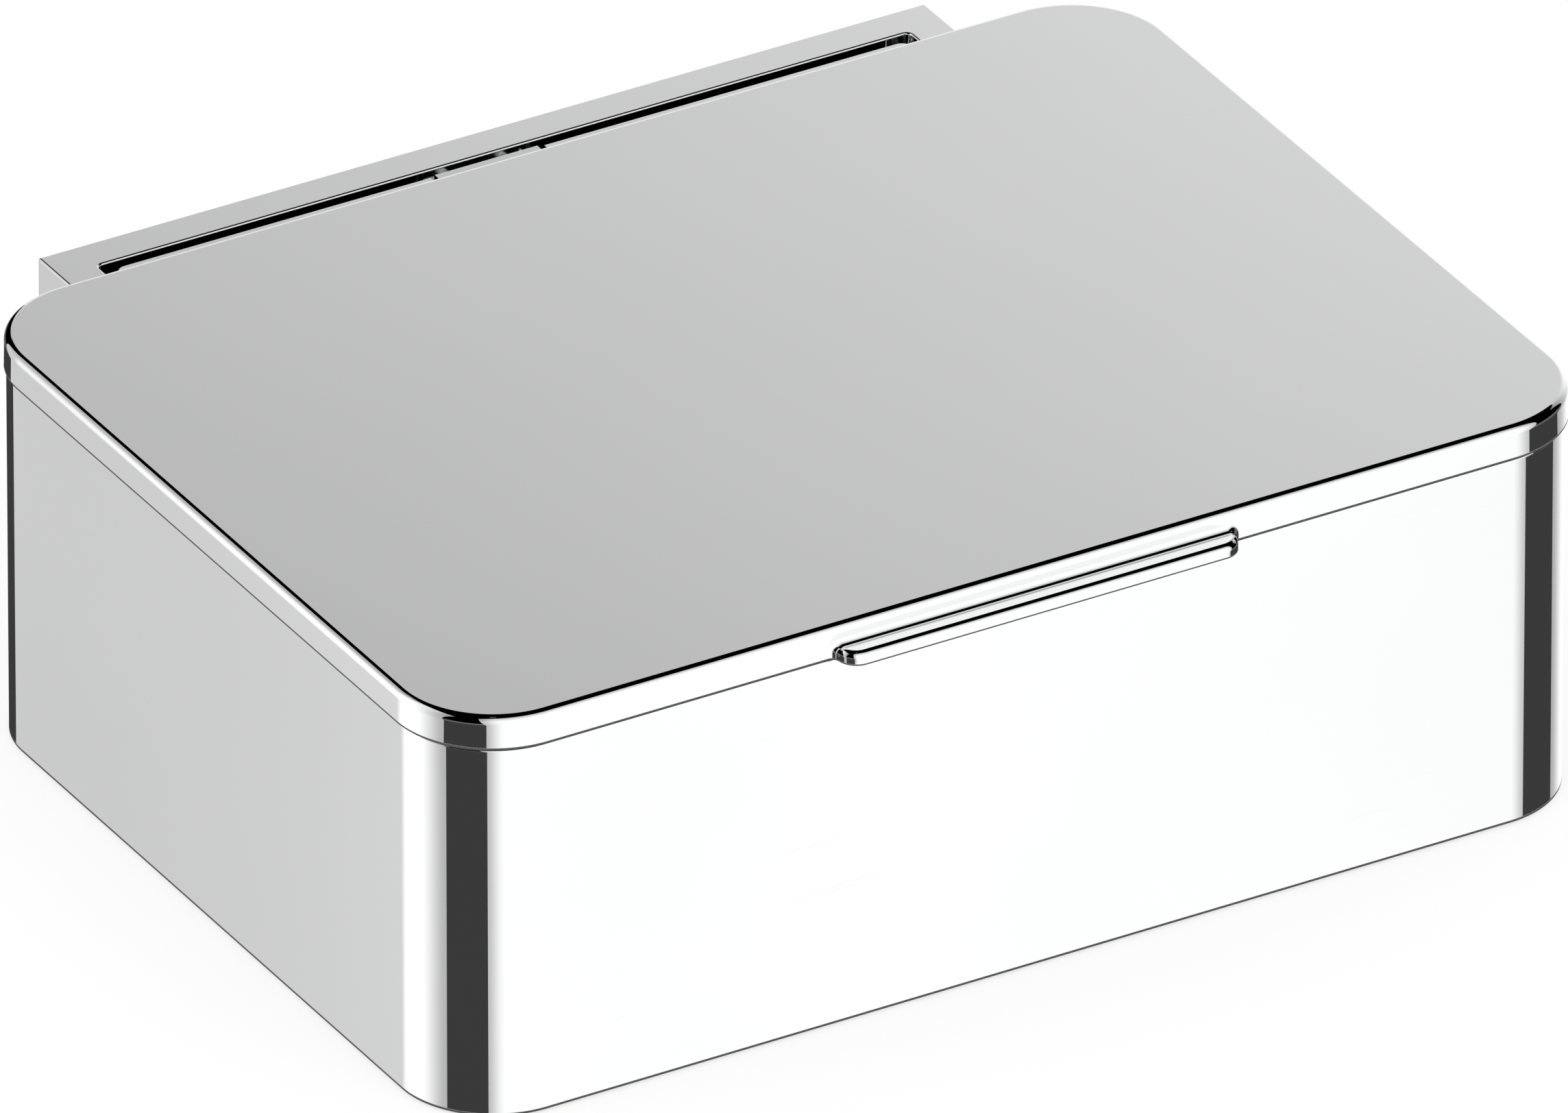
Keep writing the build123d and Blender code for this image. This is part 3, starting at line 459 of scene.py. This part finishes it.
def linkObject(name, data):
    # an object in the scene, with its data in it
    thing = bpy.data.objects.new(name, data)
    bpy.context.scene.collection.objects.link(thing)
    return thing


def linkMesh(name, points, faces):
    # an object whose flat-shaded mesh has these points and faces
    mesh = bpy.data.meshes.new(name)
    mesh.from_pydata(points, [], faces)
    return linkObject(name, mesh)


def linkPiece(name, points, faces, loopNormals):
    # a smooth piece, with one normal for each corner of each face
    piece = linkMesh(name, points.tolist(), faces)
    piece.data.polygons.foreach_set("use_smooth", np.ones(len(faces), bool))
    piece.data.normals_split_custom_set(loopNormals)
    return piece


def dressPiece(piece, body, slot, *nodes):
    # the piece moves with its body, stands in for the nodes and takes the finish of the slot
    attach(piece, body)
    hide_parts(*nodes)
    piece.data.materials.append(finishOf(slot))


def gridFaces(index):
    # quads between neighbouring rows and columns; rows go down and columns anticlockwise from above
    upper, lower = index[:-1], index[1:]
    return np.stack((upper[:, :-1], lower[:, :-1], lower[:, 1:], upper[:, 1:]), axis=-1).reshape(-1, 4)


def roundRows(out, height, radius, first, last, steps):
    # an arc of a profile: point = centre + radius times (cos, sin); a row is out, height and the
    # normal's angle above and below the row
    angle = np.radians(np.linspace(first, last, steps + 1))
    return np.stack((out + radius * np.cos(angle), height + radius * np.sin(angle), angle, angle), axis=1)


def cornerRow(out, height, before, after):
    # a sharp corner of a profile, with the normal's angle on each side of it
    return np.array([[out, height, radians(before), radians(after)]])


def roundedOutline(spec):
    # a rounded rectangle: corner centres, and headings that turn a quarter round each of them
    steps = spec["cornerSteps"]
    headings = np.radians(np.concatenate([np.linspace(90 * k, 90 * k + 90, steps + 1) for k in range(4)]))
    side = np.repeat(np.array([[1, 1], [-1, 1], [-1, -1], [1, -1]]), steps + 1, axis=0)
    middle = (spec["back"] + spec["front"]) / 2
    half = np.array([spec["halfWidth"], (spec["back"] - spec["front"]) / 2]) - spec["corner"]
    centres = side * half + np.array([0.0, middle])
    return centres, np.stack((np.cos(headings), np.sin(headings)), axis=1)


def carryProfile(outline, corner, rows):
    # point = corner centre + (corner radius + out) times heading, at the row's height
    centres, headings = outline
    reach = corner + rows[:, 0]
    flat = centres[None] + reach[:, None, None] * headings[None]
    height = np.repeat(rows[:, 1][:, None, None], len(headings), axis=1)
    return np.concatenate((flat, height), axis=2)


def profileNormals(headings, angle):
    # normal = heading times cos, up by sin, for each row and column
    flat = np.cos(angle)[:, None, None] * headings[None]
    up = np.repeat(np.sin(angle)[:, None, None], len(headings), axis=1)
    return np.concatenate((flat, up), axis=2)


def rowNormals(outline, rows):
    # the normals above and below each row of a profile, all round the outline
    return profileNormals(outline[1], rows[:, 2]), profileNormals(outline[1], rows[:, 3])


def ringFaces(rows, columns):
    # quads round closed rings of points, and a flat face inside the first and the last ring
    index = np.arange(rows * columns).reshape(rows, columns)
    quads = gridFaces(np.concatenate((index, index[:, :1]), axis=1))
    return quads, [index[0].tolist(), index[-1][::-1].tolist()]


def closedShell(name, points, before, after):
    # rings carried down the profile; a quad takes its normals below its upper row and above its lower one
    rows, columns = points.shape[:2]
    quads, ends = ringFaces(rows, columns)
    sides = (after, before, before, after)
    quadNormals = np.stack([side.reshape(-1, 3)[quads[:, k]] for k, side in enumerate(sides)], axis=1)
    endNormals = [np.tile((0.0, 0.0, 1.0), (columns, 1)), np.tile((0.0, 0.0, -1.0), (columns, 1))]
    normals = np.concatenate([quadNormals.reshape(-1, 3)] + endNormals)
    return linkPiece(name, points.reshape(-1, 3), quads.tolist() + ends, normals)


# the shell: straight walls carried round the outline, lowered at the back where the leaf passes

shellLow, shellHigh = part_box("body_shell")
shellSpec = {"halfWidth": shellHigh.x, "front": shellLow.y, "back": shellHigh.y, "height": shellHigh.z,
             "corner": 0.0153, "wall": 0.0015, "floor": 0.0015, "baseRound": 0.00015, "rimRound": 0.0003,
             "notchHalf": 0.06865, "notchLean": 0.00005, "notchHeight": 0.0587,
             "cornerSteps": 48, "innerSteps": 8, "outerSteps": 10, "baseSteps": 10}


def shellProfile(spec):
    # from the inner floor up the inner wall, over the rim and down the outer wall to the base
    rim, base = spec["rimRound"], spec["baseRound"]
    rimHeight = spec["height"] - rim
    return np.concatenate((
        cornerRow(-spec["wall"], spec["floor"], 90, 180),
        roundRows(-spec["wall"] + rim, rimHeight, rim, 180, 90, spec["innerSteps"]),
        roundRows(-rim, rimHeight, rim, 90, 0, spec["outerSteps"]),
        roundRows(-base, base, base, 0, -90, spec["baseSteps"])))


def addNotchColumns(outline, spec):
    # two more columns at each end of the notch: the outer one a hair further out, so the end wall leans
    centres, headings = outline
    cut = spec["cornerSteps"] + 1
    places = np.array([1, 1, -1, -1]) * (spec["notchHalf"] + np.array([1, 0, 0, 1]) * spec["notchLean"])
    newCentres = np.stack((places, np.full(4, centres[0, 1])), axis=1)
    centres = np.insert(centres, cut, newCentres, axis=0)
    headings = np.insert(headings, cut, np.tile((0.0, 1.0), (4, 1)), axis=0)
    inside = np.zeros(len(centres), bool)
    inside[cut + 1:cut + 3] = True
    return (centres, headings), inside


def makeShell(spec):
    # inside the notch all points above its floor come down to it
    outline, inside = addNotchColumns(roundedOutline(spec), spec)
    rows = shellProfile(spec)
    points = carryProfile(outline, spec["corner"], rows)
    before, after = rowNormals(outline, rows)
    lowered = (points[:, :, 2] > spec["notchHeight"]) & inside[None]
    points[lowered, 2] = spec["notchHeight"]
    before[lowered] = after[lowered] = (0.0, 0.0, 1.0)
    return closedShell("shell", points, before, after)


# the lid: a drafted skirt under a large flat top, hollow below; it reaches past the shell by the
# overhang at the front and the sides, and ends flush with it at the back

lidOverhang = 0.00065
lidLow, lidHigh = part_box("lid_cover")
lidSpec = {"halfWidth": shellSpec["halfWidth"] + lidOverhang, "front": shellSpec["front"] - lidOverhang,
           "back": shellSpec["back"], "corner": shellSpec["corner"] + lidOverhang,
           "bottom": lidLow.z, "top": lidHigh.z, "wall": 0.0015, "draft": 1.0, "topRound": 0.00125,
           "edgeRound": 0.0001, "cornerSteps": 48, "topSteps": 28, "edgeSteps": 10}


def lidProfile(spec):
    # each round touches the skirt, which leans in by the draft as it rises
    lean = radians(spec["draft"])
    highCentre, lowCentre = spec["top"] - spec["topRound"], spec["bottom"] + spec["edgeRound"]
    highOut = -(highCentre - spec["bottom"]) * tan(lean) - spec["topRound"] / cos(lean)
    lowOut = -(lowCentre - spec["bottom"]) * tan(lean) - spec["edgeRound"] / cos(lean)
    return np.concatenate((
        roundRows(highOut, highCentre, spec["topRound"], 90, spec["draft"], spec["topSteps"]),
        roundRows(lowOut, lowCentre, spec["edgeRound"], spec["draft"], -90, spec["edgeSteps"]),
        cornerRow(-spec["wall"], spec["bottom"], -90, 180),
        cornerRow(-spec["wall"], spec["top"] - spec["wall"], 180, -90)))


def makeLid(spec):
    # the profile carried all round, closed flat on top and under the top
    outline, rows = roundedOutline(spec), lidProfile(spec)
    return closedShell("lidTop", carryProfile(outline, spec["corner"], rows), *rowNormals(outline, rows))


# the grip: a ledge with a rounded nose, flared where it grows out of the skirt

gripSpec = {"halfWidth": 0.0333, "reach": 0.0039, "thickness": 0.00215, "corner": 0.00315, "nose": 0.001,
            "edge": 0.00025, "root": 0.00115, "sunk": 0.00001, "crowding": 1.5,
            "rootSteps": 26, "cornerSteps": 30, "noseSteps": 14, "edgeSteps": 5}


def gripPath(spec, rootPlaces):
    # out along the left side, a quarter turn, a quarter turn, and back along the right side
    turn = np.radians(np.linspace(180, 270, spec["cornerSteps"] + 1))
    side = rootPlaces * (spec["reach"] - spec["corner"])
    straight = np.full(len(side) - 1, np.pi)
    headings = np.concatenate((straight, turn, turn + np.pi / 2, 2 * straight))
    away = np.concatenate((side[:-1], np.full(2 * len(turn), side[-1]), side[:-1][::-1]))
    left = len(headings) // 2
    across = np.where(np.arange(len(headings)) < left, -1.0, 1.0) * (spec["halfWidth"] - spec["corner"])
    return np.stack((across, -away), axis=1), np.stack((np.cos(headings), np.sin(headings)), axis=1)


def flareRoot(points, normals, spec):
    # near the skirt each point moves out by r - sqrt(r^2 - (r - d)^2), d its distance from the skirt,
    # along its normal without the part that points away from the skirt
    d = np.clip(-points[..., 1], 0.0, spec["root"])
    left = spec["root"] - d
    rise = spec["root"] - np.sqrt(spec["root"] ** 2 - left ** 2)
    aside = normals * (1.0, 0.0, 1.0)
    aside[..., 2] = np.maximum(aside[..., 2], 0.0)
    aside /= np.maximum(np.linalg.norm(aside, axis=-1, keepdims=True), 1e-9)
    flared = points + rise[..., None] * aside
    turned = normals * ((spec["root"] - rise) / spec["root"])[..., None]
    turned[..., 1] -= left / spec["root"]
    return flared, turned / np.linalg.norm(turned, axis=-1, keepdims=True)


def gripWall(spec, path):
    # nose round, upright face and lower edge round, carried along the path
    nose, edge = spec["nose"], spec["edge"]
    rows = np.concatenate((
        roundRows(-nose, spec["thickness"] - nose, nose, 90, 0, spec["noseSteps"]),
        roundRows(-edge, edge, edge, 0, -90, spec["edgeSteps"])))
    return carryProfile(path, spec["corner"], rows), profileNormals(path[1], rows[:, 2])


def gripTop(wallTop, rootPlaces):
    # rows from the skirt to the nose: across stays as it is, and the distance from the skirt grows
    top = np.repeat(wallTop[None], len(rootPlaces), axis=0)
    top[:, :, 1] *= rootPlaces[:, None]
    return top


def gripIndex(rows, columns, steps):
    # the top shares its outer points with the first row of the wall
    wall = np.arange(rows * columns).reshape(rows, columns)
    inner = np.arange(rows * columns, rows * columns + steps * (columns - 2 * steps))
    top = inner.reshape(steps, columns - 2 * steps)
    top = np.concatenate((top, wall[:1, steps:columns - steps]))
    top[:, 0] = wall[0, :steps + 1]
    top[:, -1] = wall[0, columns - steps - 1:][::-1]
    return wall, top


def makeGrip(spec, lid):
    # wall and top share their border; rows crowd towards the skirt, where the flare is tightest
    steps = spec["rootSteps"]
    rootPlaces = np.linspace(0, 1, steps + 1) ** spec["crowding"]
    path = gripPath(spec, rootPlaces)
    points, normals = gripWall(spec, path)
    rows, columns = points.shape[:2]
    top = gripTop(points[0, steps:columns - steps], rootPlaces)[:-1]
    upward = np.tile((0.0, 0.0, 1.0), (top.shape[0] * top.shape[1], 1))
    points = np.concatenate((points.reshape(-1, 3), top.reshape(-1, 3)))
    normals = np.concatenate((normals.reshape(-1, 3), upward))
    points, normals = flareRoot(points, normals, spec)
    wall, topIndex = gripIndex(rows, columns, steps)
    quads = np.concatenate((gridFaces(wall), gridFaces(topIndex)))
    under = wall[-1][::-1].tolist()
    behind = topIndex[0].tolist() + wall[1:, -1].tolist() + wall[1:, 0][::-1].tolist()
    # the skirt leans in as it rises, and the root follows it
    nearRoot = 1.0 + points[:, 1] / spec["reach"]
    points[:, 1] += lid["front"] + spec["sunk"] + points[:, 2] * tan(radians(lid["draft"])) * nearRoot
    points[:, 2] += lid["bottom"]
    loops = [normals[quads].reshape(-1, 3), np.tile((0.0, 0.0, -1.0), (len(under), 1)),
             np.tile((0.0, 1.0, 0.0), (len(behind), 1))]
    return linkPiece("grip", points, quads.tolist() + [under, behind], np.concatenate(loops))


# bosses under the lid's top, which its screws and the leaf's screws bite into

def middleOf(node):
    # how far back the middle of a node lies
    low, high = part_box(node)
    return (low.y + high.y) / 2


bossSpec = {"radius": 0.0032, "low": 0.064, "high": 0.0654, "chamfer": 0.0002, "steps": 40,
            "leafCount": 6, "leafSpacing": 0.024, "leafY": middleOf("leaf_screws"),
            "linerHalf": (0.0705, 0.0395), "linerY": middleOf("liner_screws")}


def bossPlaces(spec):
    # a row along the leaf and one in each corner of the inner lid
    along = (np.arange(spec["leafCount"]) - (spec["leafCount"] - 1) / 2) * spec["leafSpacing"]
    leaf = np.stack((along, np.full(len(along), spec["leafY"])), axis=1)
    halfX, halfY = spec["linerHalf"]
    corners = np.array([(x * halfX, spec["linerY"] + y * halfY) for x in (-1, 1) for y in (-1, 1)])
    return np.concatenate((leaf, corners))


def makeBosses(spec):
    # a short post about each place: rings at its top, above its chamfer and at its foot
    turn = np.linspace(0, 2 * np.pi, spec["steps"], endpoint=False)
    ring = np.stack((np.cos(turn), np.sin(turn)), axis=1)
    radii = np.array([spec["radius"], spec["radius"], spec["radius"] - spec["chamfer"]])
    heights = np.array([spec["high"], spec["low"] + spec["chamfer"], spec["low"]])
    post = np.concatenate((radii[:, None, None] * ring[None],
                           np.repeat(heights[:, None, None], spec["steps"], axis=1)), axis=2).reshape(-1, 3)
    quads, ends = ringFaces(len(radii), spec["steps"])
    faces, points = [], []
    for number, (x, y) in enumerate(bossPlaces(spec)):
        start = number * len(post)
        points.append(post + (x, y, 0.0))
        faces += (quads + start).tolist() + [[start + corner for corner in end] for end in ends]
    return linkMesh("lidBosses", np.concatenate(points).tolist(), faces)


dressPiece(makeShell(shellSpec), "box", "shell_chrome", "body_shell")
dressPiece(makeLid(lidSpec), "lid", "lid_chrome", "lid_cover")
dressPiece(makeGrip(gripSpec, lidSpec), "lid", "lid_chrome", "lid_cover")
dressPiece(makeBosses(bossSpec), "lid", "lid_chrome", "lid_cover")
print("shell, lid, grip and bosses made")


# studio: floor, sky, lamps, soft boxes and camera

cameraSpec = {"turn": -30.19, "rise": 30.13, "aim": (0.00183, -0.00286, 0.0307), "distance": 7.63,
              "lens": 1202.0, "clipEnd": 100.0}


def directionAt(turn, rise=0.0):
    # unit vector from the object: turn goes round from the front, rise goes up, in degrees
    flat = cos(radians(rise))
    return Vector((sin(radians(turn)) * flat, -cos(radians(turn)) * flat, sin(radians(rise))))


def standAway(thing, aim, outward, distance):
    # puts a camera or a lamp at a distance from what it looks at
    thing.location = aim + outward * distance
    thing.rotation_mode = "QUATERNION"
    thing.rotation_quaternion = (-outward).to_track_quat("-Z", "Y")


def makeCamera(spec):
    # a long lens, far away, nearly without perspective
    data = bpy.data.cameras.new("camera")
    data.lens = spec["lens"]
    data.clip_end = spec["clipEnd"]
    camera = linkObject("camera", data)
    standAway(camera, Vector(spec["aim"]), directionAt(spec["turn"], spec["rise"]), spec["distance"])
    bpy.context.scene.camera = camera


def makePlane(name, left, right, low, high):
    # one flat rectangle in its own XY plane
    corners = [(left, low, 0), (right, low, 0), (right, high, 0), (left, high, 0)]
    plane = linkMesh(name, corners, [(0, 1, 2, 3)])
    return plane


# keep is the share of the floor that shows the light and the shadow, lift the white added to it
floorSpec = {"half": 20.0, "drop": 0.0004, "tone": (0.9, 0.9, 0.9, 1.0), "keep": 0.34, "lift": 0.74}
pureWhite = (1.0, 1.0, 1.0, 1.0)


def makeFloor(spec):
    # pale floor: part plain diffuse, which keeps the shadow, part white for the camera
    floor = makePlane("floor", -spec["half"], spec["half"], -spec["half"], spec["half"])
    floor.location.z = -spec["drop"]
    material = bpy.data.materials.new("floorPaper")
    tree = emptyTree(material)
    diffuse = addNode(tree, "BsdfDiffuse", {"Color": spec["tone"]})
    white = addNode(tree, "Emission", {"Color": pureWhite, "Strength": spec["lift"] / (1 - spec["keep"])})
    blend = addNode(tree, "MixShader", {"Fac": spec["keep"]})
    tree.links.new(white.outputs[0], blend.inputs[1])
    tree.links.new(diffuse.outputs[0], blend.inputs[2])
    path = addNode(tree, "LightPath")
    choose = addNode(tree, "MixShader")
    tree.links.new(path.outputs["Is Camera Ray"], choose.inputs["Fac"])
    tree.links.new(diffuse.outputs[0], choose.inputs[1])
    tree.links.new(blend.outputs[0], choose.inputs[2])
    output = addNode(tree, "OutputMaterial")
    tree.links.new(choose.outputs[0], output.inputs["Surface"])
    floor.data.materials.append(material)
    floor.visible_glossy = False


# what chrome mirrors beside the soft boxes: each part grows to its level between from and to, in degrees
# above the horizon; the floor keeps only a share of it where a direction points far back
skySpec = {
    "plain": 0.82,
    "wall": {"from": -2, "to": -13, "level": 0.14},
    "wallFoot": {"from": -25, "to": -20, "level": 1.0},
    "ground": {"from": -10, "to": -29, "level": 0.045},
    "floor": {"from": -36, "to": -52, "level": 0.62, "far": 0.5, "near": -0.6, "farShare": 0.4},
    "zenith": {"from": 88.1, "to": 88.7, "level": 0.4},
}


def addRise(tree, up, part):
    # a level that is reached between two heights above the horizon
    return addRange(tree, up, sin(radians(part["from"])), sin(radians(part["to"])), 0.0, part["level"])


def addMirroredSky(tree, spec):
    # brightness = ground + foot of the wall + floor, dimmer at the back, + small soft zenith
    split = addNode(tree, "SeparateXYZ")
    tree.links.new(addNode(tree, "TexCoord").outputs["Generated"], split.inputs["Vector"])
    up, back = split.outputs["Z"], split.outputs["Y"]
    floor = spec["floor"]
    share = addRange(tree, back, floor["far"], floor["near"], floor["farShare"], 1.0)
    wall = addMath(tree, "MULTIPLY", addRise(tree, up, spec["wall"]), addRise(tree, up, spec["wallFoot"]))
    bright = addRise(tree, up, spec["zenith"])
    for part in (addRise(tree, up, spec["ground"]), wall,
                 addMath(tree, "MULTIPLY", addRise(tree, up, floor), share)):
        bright = addMath(tree, "ADD", bright, part)
    return bright


def makeSky(spec):
    # the camera sees white, chrome the mirrored sky, and everything else a plain light sky
    world = bpy.data.worlds.new("studioSky")
    bpy.context.scene.world = world
    tree = emptyTree(world)
    path = addNode(tree, "LightPath")
    mirrored = addNode(tree, "Background", {"Color": pureWhite})
    tree.links.new(addMirroredSky(tree, spec), mirrored.inputs["Strength"])
    plain = addNode(tree, "Background", {"Color": pureWhite, "Strength": spec["plain"]})
    white = addNode(tree, "Background", {"Color": pureWhite, "Strength": 1.0})
    mirrorOrPlain = addNode(tree, "MixShader")
    tree.links.new(path.outputs["Is Glossy Ray"], mirrorOrPlain.inputs["Fac"])
    tree.links.new(plain.outputs[0], mirrorOrPlain.inputs[1])
    tree.links.new(mirrored.outputs[0], mirrorOrPlain.inputs[2])
    seenFirst = addMath(tree, "MAXIMUM", path.outputs["Is Camera Ray"], path.outputs["Is Transmission Ray"])
    final = addNode(tree, "MixShader")
    tree.links.new(seenFirst, final.inputs["Fac"])
    tree.links.new(mirrorOrPlain.outputs[0], final.inputs[1])
    tree.links.new(white.outputs[0], final.inputs[2])
    tree.links.new(final.outputs[0], addNode(tree, "OutputWorld").inputs["Surface"])


# a soft box stands beside the object and leans over it, and its light fades towards its edges.
# turn is where it stands, from the camera's side, and lean its tilt, in degrees; reach is how far it
# goes left, right, down and up; left, right and top say where a fade starts, where it ends and the
# share of the peak before it
softBoxes = {
    "softBoxFront": {"turn": 33.0, "lean": 9.35, "distance": 1.087, "reach": (-1.036, 1.242, -1.3, 1.85),
                     "left": (-1.036, -0.481, 0.528), "right": (1.242, 0.596, 0.566),
                     "top": (1.45, 0.25, 0.58), "peak": 1.08},
    "softBoxRight": {"turn": 154.5, "lean": 5.95, "distance": 0.955, "reach": (-0.667, 0.85, -0.87, 0.63),
                     "left": (-0.667, 0.021, 0.406), "right": (0.83, -0.05, 0.75),
                     "top": (0.83, 0.038, 0.417), "peak": 1.117},
    "softBoxLeft": {"turn": -93.8, "lean": 4.06, "distance": 0.811, "reach": (-0.675, 0.844, -0.82, 1.109),
                    "left": (-0.35, 0.0, 0.47), "right": (0.844, -0.068, 0.358),
                    "top": (1.109, -0.084, 0.62), "peak": 1.363},
}
studioMiddle = Vector((0.0, 0.0, 0.035))


def makeSoftBoxFinish(name, spec):
    # light = peak times the fades of the left, right and upper edges
    material = bpy.data.materials.new(name)
    tree = emptyTree(material)
    across = addNode(tree, "SeparateXYZ")
    tree.links.new(addNode(tree, "TexCoord").outputs["Object"], across.inputs["Vector"])
    light = spec["peak"]
    for side, axis in (("left", "X"), ("right", "X"), ("top", "Y")):
        start, end, before = spec[side]
        fade = addRange(tree, across.outputs[axis], start, end, before, 1.0)
        light = addMath(tree, "MULTIPLY", fade, light)
    glow = addNode(tree, "Emission", {"Color": pureWhite})
    tree.links.new(light, glow.inputs["Strength"])
    tree.links.new(glow.outputs[0], addNode(tree, "OutputMaterial").inputs["Surface"])
    return material


def makeSoftBox(name, spec):
    # only chrome sees it: it lights no matt surface and throws no shadow
    box = makePlane(name, *spec["reach"])
    outward = directionAt(cameraSpec["turn"] + spec["turn"], spec["lean"])
    sideways = directionAt(cameraSpec["turn"] + spec["turn"] + 90.0)
    upward = outward.cross(sideways)
    axes = Matrix((sideways, upward, outward)).transposed().to_4x4()
    box.matrix_world = Matrix.Translation(studioMiddle + outward * spec["distance"]) @ axes
    box.data.materials.append(makeSoftBoxFinish(name + "Light", spec))
    box.visible_camera = False
    box.visible_diffuse = False
    box.visible_transmission = False
    box.visible_shadow = False


lampSpecs = {
    "keyLamp": {"turn": 25.0, "rise": 55.0, "distance": 1.6, "size": 0.9, "power": 3.4},
    "fillLamp": {"turn": -60.0, "rise": 40.0, "distance": 1.6, "size": 1.1, "power": 2.2},
}


def makeLamp(name, spec):
    # large soft lamp, aimed at the object, not seen by the chrome
    data = bpy.data.lights.new(name, "AREA")
    data.shape = "SQUARE"
    data.size = spec["size"]
    data.energy = spec["power"]
    lamp = linkObject(name, data)
    outward = directionAt(cameraSpec["turn"] + spec["turn"], spec["rise"])
    standAway(lamp, studioMiddle, outward, spec["distance"])
    lamp.visible_glossy = False


makeCamera(cameraSpec)
makeFloor(floorSpec)
makeSky(skySpec)
for name, spec in softBoxes.items():
    makeSoftBox(name, spec)
for name, spec in lampSpecs.items():
    makeLamp(name, spec)
bpy.context.scene.view_settings.view_transform = "Standard"
print("studio ready")
